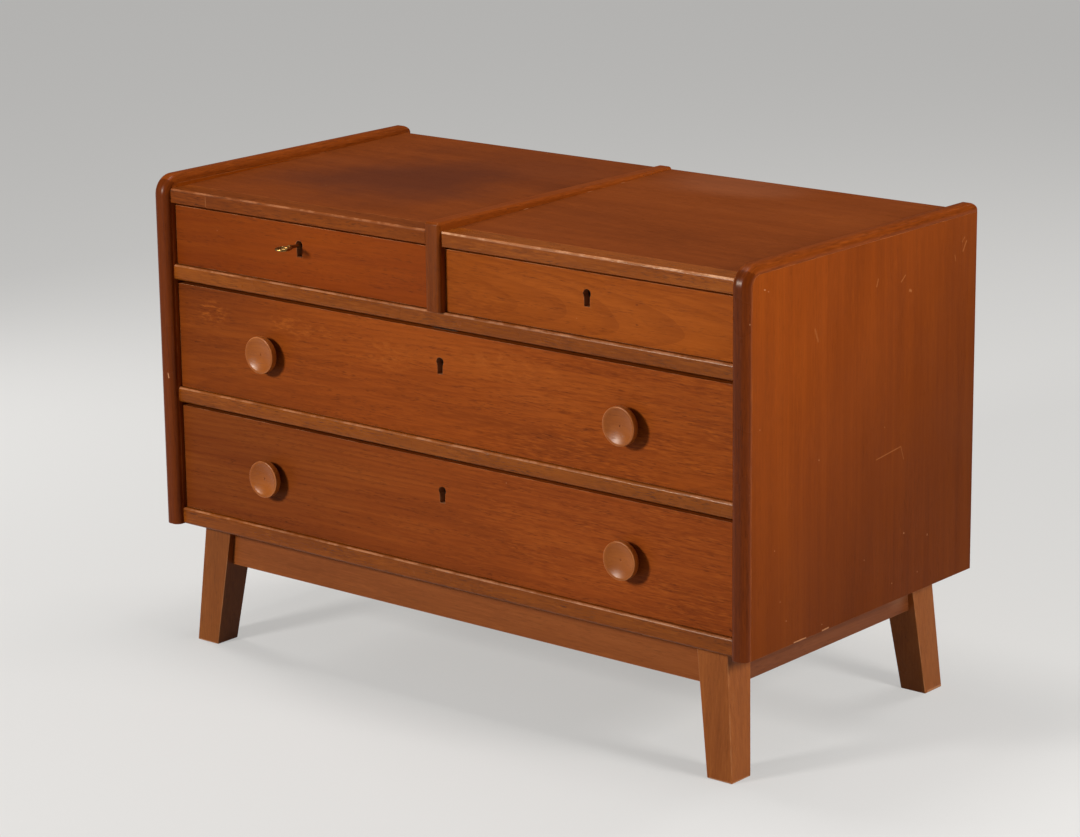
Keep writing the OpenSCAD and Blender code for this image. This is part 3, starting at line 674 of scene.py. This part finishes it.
# %% [markdown]
# ## Knobs and raw wood
# The knobs are pale teak, polished by hands. Inside, nothing is lacquered: the drawer boxes
# are planed beech and the thin panels birch plywood, whose wide rings come from peeling the
# trunk round and round. The same recipe serves for them, with the layers of teak turned
# down.

# %% Knobs, beech and plywood
# The worn colour of the knobs pales their rims, partly as wear and partly as a painted
# highlight.
knob_teak = wood(
    "knob_teak", (176, 98, 36), (154, 81, 27), (122, 60, 18), (214, 140, 88), rings=0.0,
    flecks=0.2, pores=0.3, rough=0.3, shine=0.2, edge_wear_and_highlight=0.5)
pale_beech = wood(
    "pale_beech", (216, 178, 130), (198, 158, 110), (172, 130, 86), (222, 190, 148),
    rings=0.15, flecks=0.3, pores=0.15, rough=0.6, shine=0.2)
birch_ply = wood(
    "birch_ply", (208, 172, 126), (194, 154, 106), (168, 126, 82), (214, 182, 140),
    ring_gap=0.012, flecks=0.1, pores=0.1, rough=0.62, shine=0.2)
print("woods:", sum(m.name.endswith(("teak", "beech", "ply")) for m in bpy.data.materials))

# %% [markdown]
# ## Metal
# The key and the bolts are old brass, brown where hands don't reach. The lock cases are
# pressed steel, grey and dull. Metal takes its whole look from reflection, so the metallic
# value is 1 and the variety goes into colour and roughness.

# %% Brass and steel
TARNISH_SCALE = 160
HAIRLINE_SCALE = (300, 2500, 900)
HAIRLINE_DEPTH = 0.05 * MM


def metal(name, bright, dull, rough):
    """Old metal: clean spots, dull spots and hairline scratches."""
    g = Graph(name)
    where = g.node("ShaderNodeTexCoord").outputs["Object"]
    tarnish = g.noise(where, scale=TARNISH_SCALE, detail=5, roughness=0.65)
    hairlines = g.noise(g.place(where, HAIRLINE_SCALE), detail=2)
    g.look("Base Color", g.mix(g.range(tarnish, 0.42, 0.66), bright, dull))
    g.look("Roughness", g.range(tarnish, 0.3, 0.75, rough, rough + 0.22))
    g.look("Metallic", 1.0)
    g.look("Normal", g.bump(hairlines, 0.12, HAIRLINE_DEPTH))
    return g.material


old_brass = metal("old_brass", linear(158, 122, 70), linear(86, 62, 34), 0.28)
lock_steel = metal("lock_steel", linear(160, 156, 150), linear(88, 84, 80), 0.34)
print("metals:", old_brass.name, lock_steel.name)

# %% [markdown]
# ## Grain that follows the wood
# Each board needs to know which way its fibres run. The corners of its faces get a vector
# named "grain": along, across, through. A board along X just reorders its coordinates. The
# edge strips of the side panels run up the front, round the corner and along the top, so
# there the first number is the distance travelled along that path.

# %% Grain coordinates
def grain_along_x(p):
    return p.xzy


def grain_along_y(p):
    return p.yxz


def grain_along_z(p):
    return p.zyx


def grain_round_corner(front, top, radius):
    """Grain that runs up the front, round a corner of that radius and back along the top."""
    bend_y = front + radius
    bend_z = top - radius

    def follow(p):
        if p.z <= bend_z:
            return (p.z, p.y - front, p.x)
        if p.y >= bend_y:
            return (bend_z + radius * math.pi / 2 + p.y - bend_y, top - p.z, p.x)
        angle = math.atan2(p.z - bend_z, bend_y - p.y)
        out = math.hypot(p.z - bend_z, bend_y - p.y)
        return (bend_z + radius * angle, radius - out, p.x)

    return follow


print("grain directions ready")

# %% [markdown]
# Three more values go with the grain. "heart" is the same vector measured from the heart
# of the tree, leaning a little along the board. "edge" marks the narrow faces of broken
# corners, where the finish wears through. "hollow" marks raw wood inside a hole. A board's
# place in the tree is drawn from a seed made of its name, so it never changes.

# %% Store the grain on a mesh
QUIET_HEART = (0.0, 0.35, 0.9, 0.02)


def write_grain(mesh, follow, seed, heart=QUIET_HEART, split_at=None, hollow=None, worn=None):
    """Stores grain, heart, edge and hollow on the faces of a board."""
    grain = mesh.attributes.new("grain", "FLOAT_VECTOR", "CORNER")
    pith = mesh.attributes.new("heart", "FLOAT_VECTOR", "CORNER")
    edge = mesh.attributes["edge"]
    inside = mesh.attributes.new("hollow", "FLOAT", "FACE")
    draw = random.Random(seed)
    shifts = [Vector([draw.uniform(0, 20) for _ in range(3)]) for _ in range(2)]
    heart_u, heart_v, heart_w, lean = heart
    for face in mesh.polygons:
        in_hole = bool(hollow and hollow(face.center, face.normal))
        inside.data[face.index].value = 1.0 if in_hole else 0.0
        if worn and worn(face.center, face.normal):
            edge.data[face.index].value = 1.0
        second = split_at is not None and face.center.x < split_at
        for loop in face.loop_indices:
            u, v, w = follow(mesh.vertices[mesh.loops[loop].vertex_index].co)
            grain.data[loop].vector = Vector((u, v, w)) + shifts[1 if second else 0]
            pith.data[loop].vector = (u, v - heart_v, w - heart_w + lean * (u - heart_u))


print("grain writer ready")

# %% [markdown]
# ## Breaking the corners
# A cabinetmaker never leaves a corner sharp: fine paper takes about half a millimetre off,
# and that narrow band catches the light. The board's mesh is copied, its triangles are
# merged into whole faces, and every sharp edge gets a narrow bevel. The copy then stands
# for the board. A bevel in the shader would be quicker but would leave knife edges.

# %% Softened copies of the boards
WELD_GAP = 0.002 * MM
FLAT_WITHIN = math.radians(0.8)
CORNER_FROM = math.radians(38)
CREASE_FROM = math.radians(50)
BODY_OF = {node: body for body, nodes in frame["record"]["behaviour"]["bodies"].items()
           for node in nodes}


def merged_copy(node):
    """The node's mesh with its loose triangles joined into whole faces."""
    shape = bmesh.new()
    shape.from_mesh(frame["nodes"][node].data)
    for layer in list(shape.loops.layers.uv):
        shape.loops.layers.uv.remove(layer)
    bmesh.ops.remove_doubles(shape, verts=shape.verts, dist=WELD_GAP)
    bmesh.ops.dissolve_limit(shape, angle_limit=FLAT_WITHIN, verts=shape.verts,
                             edges=shape.edges)
    return shape


def soften(node, material, follow, soft=0.6, steps=2, split_at=None, second=None,
           **grain_values):
    """Replaces a board with a copy that has rubbed corners, grain and a finish.

    soft is the width of the bevel in millimetres, and split_at cuts the grain at that x.
    second is a pair: another material, and the test that says which faces take it.
    """
    shape = merged_copy(node)
    if split_at is not None:
        bmesh.ops.bisect_plane(shape, geom=[*shape.verts, *shape.edges, *shape.faces],
                               plane_co=(split_at, 0, 0), plane_no=(1, 0, 0))
    sharp = [e for e in shape.edges
             if len(e.link_faces) == 2 and e.calc_face_angle() > CORNER_FROM]
    edge = shape.faces.layers.float.new("edge")
    narrow = bmesh.ops.bevel(shape, geom=sharp, offset=soft * MM, segments=steps,
                             profile=0.5, affect="EDGES", clamp_overlap=True)
    for face in narrow["faces"]:
        face[edge] = 1.0
    mesh = bpy.data.meshes.new("soft_" + node)
    shape.to_mesh(mesh)
    shape.free()
    write_grain(mesh, follow, node, split_at=split_at, **grain_values)
    mesh.materials.append(material)
    if second:
        mesh.materials.append(second[0])
        for face in mesh.polygons:
            face.material_index = int(second[1](face.center))
    mesh.shade_smooth()
    mesh.set_sharp_from_angle(angle=CREASE_FROM)
    piece = bpy.data.objects.new("soft_" + node, mesh)
    bpy.context.scene.collection.objects.link(piece)
    even = piece.modifiers.new("even_normals", "WEIGHTED_NORMAL")
    even.keep_sharp = True
    even.weight = 100
    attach(piece, BODY_OF[node])
    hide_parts(node)


soften("top_panel_right", top_teak, grain_along_x, soft=0.3)
soften("top_panel_left", stained_teak, grain_along_x, soft=0.3)
print("tops finished")

# %% [markdown]
# ## The case
# Some strips change from face to face. On a side panel and on the divider the run along the
# top is paler than the upright, partly as wear and partly as painted light from above, and a
# test tells them apart by a slanting line at the front corner. Rails and the strips of the
# tops are painted paler along their rounded upper front corner, partly as wear and partly as a
# painted highlight, so a second test finds the faces that look forward and up. Cutting a strip
# in two would give the same colours but leave a seam.

# %% Faces that differ
MITRE_BACK = 16 * MM
MITRE_SLOPE = 0.6
ARRIS_UP = (0.35, 0.9)
ARRIS_FORWARD = -0.2


def lies_on_top(low, high):
    """Tells which faces of an edge strip belong to its run along the top."""
    def test(centre):
        back = centre.y - low.y
        return back > MITRE_BACK or high.z - centre.z < back * MITRE_SLOPE
    return test


def worn_and_highlit_arris(centre, normal):
    """The rounded upper front corner, where hands and drawers rub and where a painted
    highlight goes.
    """
    return ARRIS_UP[0] < normal.z < ARRIS_UP[1] and normal.y < ARRIS_FORWARD


print("face tests ready")

# %% [markdown]
# Side panels stand with their grain upright. Their edge strips are rounded already, so
# only the small corners at the ends are left to break. The left top's edge strip was made
# of two lengths, and the butt joint shows: the strip is cut there and the two lengths get
# different grain.

# %% Finish the case
CORNER_RADIUS = 25 * MM
DIVIDER_RADIUS = 12 * MM
panel_low, panel_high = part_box("side_lipping_right")
strip_grain = grain_round_corner(panel_low.y, panel_high.z, CORNER_RADIUS)
for side in ("left", "right"):
    low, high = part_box("side_lipping_" + side)
    soften("side_panel_" + side, side_teak, grain_along_z, soft=0.3)
    soften("side_lipping_" + side, bullnose_teak, strip_grain, soft=0.5,
           second=(strip_teak, lies_on_top(low, high)))
soften("top_lipping_left", jointed_teak, grain_along_x, soft=0.4, split_at=JOINT_X,
       worn=worn_and_highlit_arris)
soften("top_lipping_right", lip_teak, grain_along_x, soft=0.4, worn=worn_and_highlit_arris)
divider_low, divider_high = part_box("divider_lipping")
soften("centre_divider", side_teak, grain_along_y, soft=0.3)
soften("divider_lipping", divider_teak,
       grain_round_corner(divider_low.y, divider_high.z, DIVIDER_RADIUS), soft=0.4,
       second=(strip_teak, lies_on_top(divider_low, divider_high)))
for node in ("upper_rail", "middle_rail", "bottom_rail"):
    soften(node, solid_teak, grain_along_x, soft=0.5, worn=worn_and_highlit_arris)
print("case finished")

# %% [markdown]
# ## The base
# The legs are square and tapered, with the grain down their length. They get the widest
# bevel but one, in three steps, because it is seen against the pale floor. The aprons run
# between them with the grain lengthwise.

# %% Finish the base
for corner in ("front_left", "front_right", "back_left", "back_right"):
    soften("leg_" + corner, base_teak, grain_along_z, soft=1.0, steps=3)
for end in ("front", "back"):
    soften(end + "_apron", apron_teak, grain_along_x, soft=0.8)
for side in ("left", "right"):
    soften("side_apron_" + side, side_apron_teak, grain_along_y, soft=0.8)
print("base finished")

# %% [markdown]
# ## The drawers
# The fronts are veneered with the grain across. Each gets its own place in the tree: the
# right small front was cut near the heart, so pointed arches show at its right end. The
# walls of a keyhole are raw wood. A test finds them by their place: close to the middle of
# the front, below its top edge, between its face and the pocket for the lock.

# %% Places in the tree and keyholes
FRONT_HEARTS = {
    "small_left": (0.0, 0.40, 0.10, 0.03),
    "small_right": (0.30, 0.515, -0.265, 0.05),
    "wide_upper": (-0.35, 0.30, 0.02, 0.05),
    "wide_lower": (0.1, 0.10, 0.05, 0.02),
}
KEYHOLE_REACH = 6.5 * MM
KEYHOLE_FROM_TOP = 15 * MM
FACE_SKIN = 1 * MM
LOCK_POCKET = 12 * MM


def keyhole_finder(drawer):
    """Tells which faces of a drawer front are the walls of its keyhole."""
    low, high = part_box(drawer + "_front")
    middle = (low.x + high.x) / 2

    def inside(centre, normal):
        in_line = abs(centre.x - middle) < KEYHOLE_REACH
        low_enough = centre.z < high.z - KEYHOLE_FROM_TOP
        in_front = low.y + FACE_SKIN < centre.y < high.y - LOCK_POCKET
        return in_line and low_enough and in_front and abs(normal.y) < 0.5
    return inside


print("keyhole finder ready")

# %% [markdown]
# The boxes are pale beech with plywood bottoms, unfinished inside, as such boxes are. The
# bottoms get a place in the tree of their own, because close rings made them look ribbed.

# %% Finish the drawers
BOTTOM_HEART = (0.0, 1.2, 0.02, 0.05)
FRONT_VENEERS = {"small_left": small_left_teak, "small_right": small_right_teak,
                 "wide_upper": wide_upper_teak, "wide_lower": wide_lower_teak}
for drawer, heart in FRONT_HEARTS.items():
    soften(drawer + "_front", FRONT_VENEERS[drawer], grain_along_x, soft=1.2, heart=heart,
           hollow=keyhole_finder(drawer))
    for part in ("side_l", "side_r"):
        soften(f"{drawer}_{part}", pale_beech, grain_along_y, soft=0.4)
    soften(drawer + "_back", pale_beech, grain_along_x, soft=0.4)
    soften(drawer + "_bottom", birch_ply, grain_along_x, soft=0.2, heart=BOTTOM_HEART)
print("drawers finished")

# %% [markdown]
# A knob is turned with a shallow dish in its face, and fingers rub the rim of the dish; the
# rim is painted paler, partly as that wear and partly as a painted highlight.
# Painting the rim by hand would have to be done four times over. A test finds its faces
# instead: they lie near the outer edge and look forward.

# %% Finish the knobs
RIM_WIDTH = 1.1 * MM
RIM_FORWARD = -0.25


def worn_and_highlit_rim(low, high):
    """Tells which faces of a knob belong to the rim of its dish."""
    middle = (low + high) / 2
    radius = (high.x - low.x) / 2

    def test(centre, normal):
        from_axis = math.hypot(centre.x - middle.x, centre.z - middle.z)
        return from_axis > radius - RIM_WIDTH and normal.y < RIM_FORWARD
    return test


for drawer in ("wide_upper", "wide_lower"):
    for end in ("l", "r"):
        knob = f"{drawer}_knob_{end}"
        soften(knob, knob_teak, grain_along_x, soft=0.25, worn=worn_and_highlit_rim(*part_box(knob)))
print("knobs finished")

# %% [markdown]
# ## Inside and behind
# Runners, stops and blocks are plain beech, and the back is a thin sheet of plywood. Locks,
# bolts and the key only change their material: filed metal is crisp at its edges.

# %% Finish the hidden pieces
for node in ("dust_board", "case_bottom"):
    soften(node, pale_beech, grain_along_x, soft=0.3)
soften("back_panel", birch_ply, grain_along_x, soft=0.2)
soften("drawer_runners", pale_beech, grain_along_y, soft=0.5)
soften("drawer_stops", pale_beech, grain_along_x, soft=0.4)
soften("glue_blocks", pale_beech, grain_along_x, soft=0.8)
METAL_OF = {"key": old_brass}
for drawer in FRONT_HEARTS:
    METAL_OF[drawer + "_lock"] = lock_steel
    METAL_OF[drawer + "_bolt"] = old_brass
for node, finish in METAL_OF.items():
    frame["nodes"][node].data.materials.clear()
    frame["nodes"][node].data.materials.append(finish)
print("hidden pieces finished")

# %% [markdown]
# ## Pins and screws
# The back is held by a row of small pins with domed heads, and each lock by four slotted
# screws. Placing them by hand would be slow, and a change of size would undo it. Geometry
# Nodes follow a rule instead. Both trees end in the same way: a head is set on every
# point, the flat layout is stood up, and the result is turned into a plain mesh, because
# only real faces leave Blender.

# %% Helpers for the trees
HEAD_CREASE_FROM = math.radians(40)


def new_tree(name, inputs):
    """An empty geometry tree with one output and the named inputs."""
    tree = bpy.data.node_groups.new(name, "GeometryNodeTree")
    for label, kind in inputs.items():
        tree.interface.new_socket(label, in_out="INPUT", socket_type="NodeSocket" + kind)
    tree.interface.new_socket("Geometry", in_out="OUTPUT", socket_type="NodeSocketGeometry")
    return tree


def finish_tree(tree, heads, points, middle):
    """Sets a head on every point, stands the layout up and gives the heads a material."""
    given = tree.nodes["Group Input"].outputs
    placed = add(tree, "GeometryNodeInstanceOnPoints", Points=points, Instance=heads)
    upright = add(tree, "GeometryNodeTransform", Geometry=placed.outputs[0],
                  Translation=middle, Rotation=(math.pi / 2, 0, 0))
    real = add(tree, "GeometryNodeRealizeInstances", Geometry=upright.outputs[0])
    dressed = add(tree, "GeometryNodeSetMaterial", Geometry=real.outputs[0],
                  Material=given["Metal"])
    add(tree, "NodeGroupOutput", None, dressed.outputs[0])


def run_tree(tree, name, body, slot, **values):
    """Runs a tree once, with these input values, and keeps the result as a plain mesh."""
    piece = bpy.data.objects.new(name, bpy.data.meshes.new(name))
    bpy.context.scene.collection.objects.link(piece)
    live = piece.modifiers.new("heads", "NODES")
    live.node_group = tree
    for item in tree.interface.items_tree:
        if item.in_out == "INPUT":
            live[item.identifier] = values[item.name.replace(" ", "_")]
    ready = piece.evaluated_get(bpy.context.evaluated_depsgraph_get())
    mesh = bpy.data.meshes.new_from_object(ready)
    piece.modifiers.clear()
    piece.data = mesh
    mesh.name = name
    mesh.shade_smooth()
    mesh.set_sharp_from_angle(angle=HEAD_CREASE_FROM)
    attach(piece, body)
    print(name, "faces:", len(mesh.polygons))


print("tree helpers ready")

# %% [markdown]
# The pins of the back follow a rectangle: go round it, stop every so often and set one head
# there. The rectangle's size, the gap and the head are inputs of the tree. A domed head is
# a ball pressed flat, which is simpler than a turned profile and looks the same.

# %% Pins of the back
PIN_INSET = 6 * MM
PIN_GAP = 62 * MM
PIN_RADIUS = 2.1 * MM
DOME_SHAPE = (1, 1, 0.3)

pin_tree = new_tree("pins_round_a_board", {
    "Width": "Float", "Height": "Float", "Gap": "Float", "Head": "Float",
    "Middle": "Vector", "Metal": "Material"})
given = pin_tree.nodes.new("NodeGroupInput").outputs
loop = add(pin_tree, "GeometryNodeCurvePrimitiveQuadrilateral",
           Width=given["Width"], Height=given["Height"])
stops = add(pin_tree, "GeometryNodeResampleCurve", {"mode": "LENGTH"},
            Curve=loop.outputs[0], Length=given["Gap"])
ball = add(pin_tree, "GeometryNodeMeshUVSphere", Segments=12, Rings=8, Radius=given["Head"])
dome = add(pin_tree, "GeometryNodeTransform", Geometry=ball.outputs[0], Scale=DOME_SHAPE)
finish_tree(pin_tree, dome.outputs[0], stops.outputs[0], given["Middle"])

back_low, back_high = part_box("back_panel")
run_tree(pin_tree, "back_pins", "carcass", "steel",
         Width=back_high.x - back_low.x - 2 * PIN_INSET,
         Height=back_high.z - back_low.z - 2 * PIN_INSET,
         Gap=PIN_GAP, Head=PIN_RADIUS, Metal=lock_steel,
         Middle=((back_low.x + back_high.x) / 2, back_high.y,
                 (back_low.z + back_high.z) / 2))

# %% [markdown]
# A lock's screws stand at the corners of its plate, so the points are the corners of a
# two by two grid. A head is a low cone with a slot cut out of it. The slots all stand the
# same way, as a careful fitter leaves them.

# %% Screws of the locks
SCREW_INSET = 5 * MM
SCREW_RISE = 1.2 * MM
SCREW_RADIUS = 2.4 * MM
CONE_TAPER = 0.72
SLOT_SIZE = (9 * MM, 0.8 * MM, 0.8 * MM)

screw_tree = new_tree("screws_of_a_plate", {
    "Width": "Float", "Height": "Float", "Head": "Float", "Rise": "Float",
    "Middle": "Vector", "Metal": "Material"})
given = screw_tree.nodes.new("NodeGroupInput").outputs
corners = add(screw_tree, "GeometryNodeMeshGrid", Size_X=given["Width"],
              Size_Y=given["Height"], Vertices_X=2, Vertices_Y=2)
narrow_end = add(screw_tree, "ShaderNodeMath", {"operation": "MULTIPLY"}, given["Head"],
                 CONE_TAPER)
cone = add(screw_tree, "GeometryNodeMeshCone", Vertices=20, Depth=given["Rise"],
           Radius_Bottom=narrow_end.outputs[0], Radius_Top=given["Head"])
slot_bar = add(screw_tree, "GeometryNodeMeshCube", Size=SLOT_SIZE)
cut = add(screw_tree, "GeometryNodeMeshBoolean", {"operation": "DIFFERENCE"},
          cone.outputs[0], slot_bar.outputs[0])
finish_tree(screw_tree, cut.outputs[0], corners.outputs[0], given["Middle"])

for drawer in FRONT_HEARTS:
    low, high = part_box(drawer + "_lock")
    run_tree(screw_tree, drawer + "_lock_screws", drawer + "_drawer", "brass",
             Width=high.x - low.x - 2 * SCREW_INSET, Height=high.z - low.z - 2 * SCREW_INSET,
             Head=SCREW_RADIUS, Rise=SCREW_RISE, Metal=old_brass,
             Middle=((low.x + high.x) / 2, high.y + SCREW_RISE / 2, (low.z + high.z) / 2))

# %% [markdown]
# ## Floor and light
# The floor is one pale, plain sheet, so large that no edge or corner shows. It glows only
# where the camera or a mirror image sees it: that keeps it evenly pale and lights nothing
# else. A brighter lamp would do the same but would bleach the wood.

# %% Floor
FLOOR_SIZE = 60.0
FLOOR_TONE = linear(150, 149, 147)
FLOOR_GLOW = linear(172, 171, 169)
floor_graph = Graph("pale_floor")
rays = floor_graph.node("ShaderNodeLightPath").outputs
seen = floor_graph.math("MAXIMUM", rays["Is Camera Ray"], rays["Is Glossy Ray"])
for name, value in (("Base Color", FLOOR_TONE), ("Roughness", 0.9),
                    ("Specular IOR Level", 0.05), ("Emission Color", FLOOR_GLOW),
                    ("Emission Strength", seen)):
    floor_graph.look(name, value)
bpy.ops.mesh.primitive_plane_add(size=FLOOR_SIZE, location=(0, 0, 0))
floor = bpy.context.object
floor.name = "floor"
floor.data.materials.append(floor_graph.material)
print("floor:", floor.name, FLOOR_SIZE, "m wide")

# %% [markdown]
# A soft lamp in front of the drawers, a little above them and to the left, throws the
# shadows of the knobs back onto the fronts. One lamp on each side opens up the side
# panels, one hangs overhead for the tops, and a broad one stands behind. Lacquer mirrors
# every lamp as a white glare, so the two at the sides and the one behind only light the
# wood and are left out of its reflections. The last lamp does the opposite: it is warm and
# long, lights nothing, and shows only as the gleam along rounded edges.

# %% Lamps
CHEST_MIDDLE = (0, 0, 0.35)
WARM = (1.0, 0.80, 0.60)


def lamp(name, place, target, size, power, mirrored=True):
    """A soft panel of light; size is its width and height."""
    data = bpy.data.lights.new(name, "AREA")
    data.shape = "RECTANGLE"
    data.size, data.size_y = size
    data.energy = power
    made = bpy.data.objects.new(name, data)
    bpy.context.scene.collection.objects.link(made)
    aim = (Vector(target) - Vector(place)).to_track_quat("-Z", "Y").to_matrix().to_4x4()
    made.matrix_world = Matrix.Translation(place) @ aim
    made.visible_camera = False
    made.visible_glossy = mirrored
    return made


lamp("key_light", (-0.85, -2.6, 1.35), CHEST_MIDDLE, (0.5, 0.4), power=58)
lamp("side_light", (2.0, -0.06, 1.0), (0.45, -0.1, 0.4), (0.45, 0.45), power=26,
     mirrored=False)
lamp("left_light", (-2.0, 0.2, 1.0), (-0.45, 0, 0.4), (0.45, 0.45), power=12,
     mirrored=False)
lamp("top_light", (-0.3, -0.1, 2.6), CHEST_MIDDLE, (0.6, 0.6), power=21)
lamp("back_light", (0.6, 2.8, 2.2), CHEST_MIDDLE, (1.2, 1.2), power=38, mirrored=False)
gleam = lamp("gleam_light", (-1.25, -2.6, 1.35), (0.25, -0.2, 0.45), (0.6, 0.16), power=72)
gleam.data.color = WARM
gleam.visible_diffuse = False

# %% [markdown]
# The room is dim, and dimmer still where it is mirrored, so that the wood keeps its deep
# colour. A picture of a real room could light the chest as well, but lacquer would mirror
# its windows.

# %% Room
ROOM_TONE = (0.95, 0.96, 1.0, 1)
ROOM_LIGHT = 0.10
ROOM_MIRRORED = 0.05
world = bpy.data.worlds.new("room")
bpy.context.scene.world = world
world.use_nodes = True
room_tree = world.node_tree
background = room_tree.nodes["Background"]
background.inputs["Color"].default_value = ROOM_TONE
mirrored = add(room_tree, "ShaderNodeLightPath").outputs["Is Glossy Ray"]
dimmer = add(room_tree, "ShaderNodeMapRange", None, Value=mirrored, To_Min=ROOM_LIGHT,
             To_Max=ROOM_MIRRORED)
feed(room_tree, background.inputs["Strength"], dimmer.outputs["Result"])
bpy.context.scene.view_settings.view_transform = "Standard"
print("room light:", ROOM_LIGHT, "mirrored:", ROOM_MIRRORED)
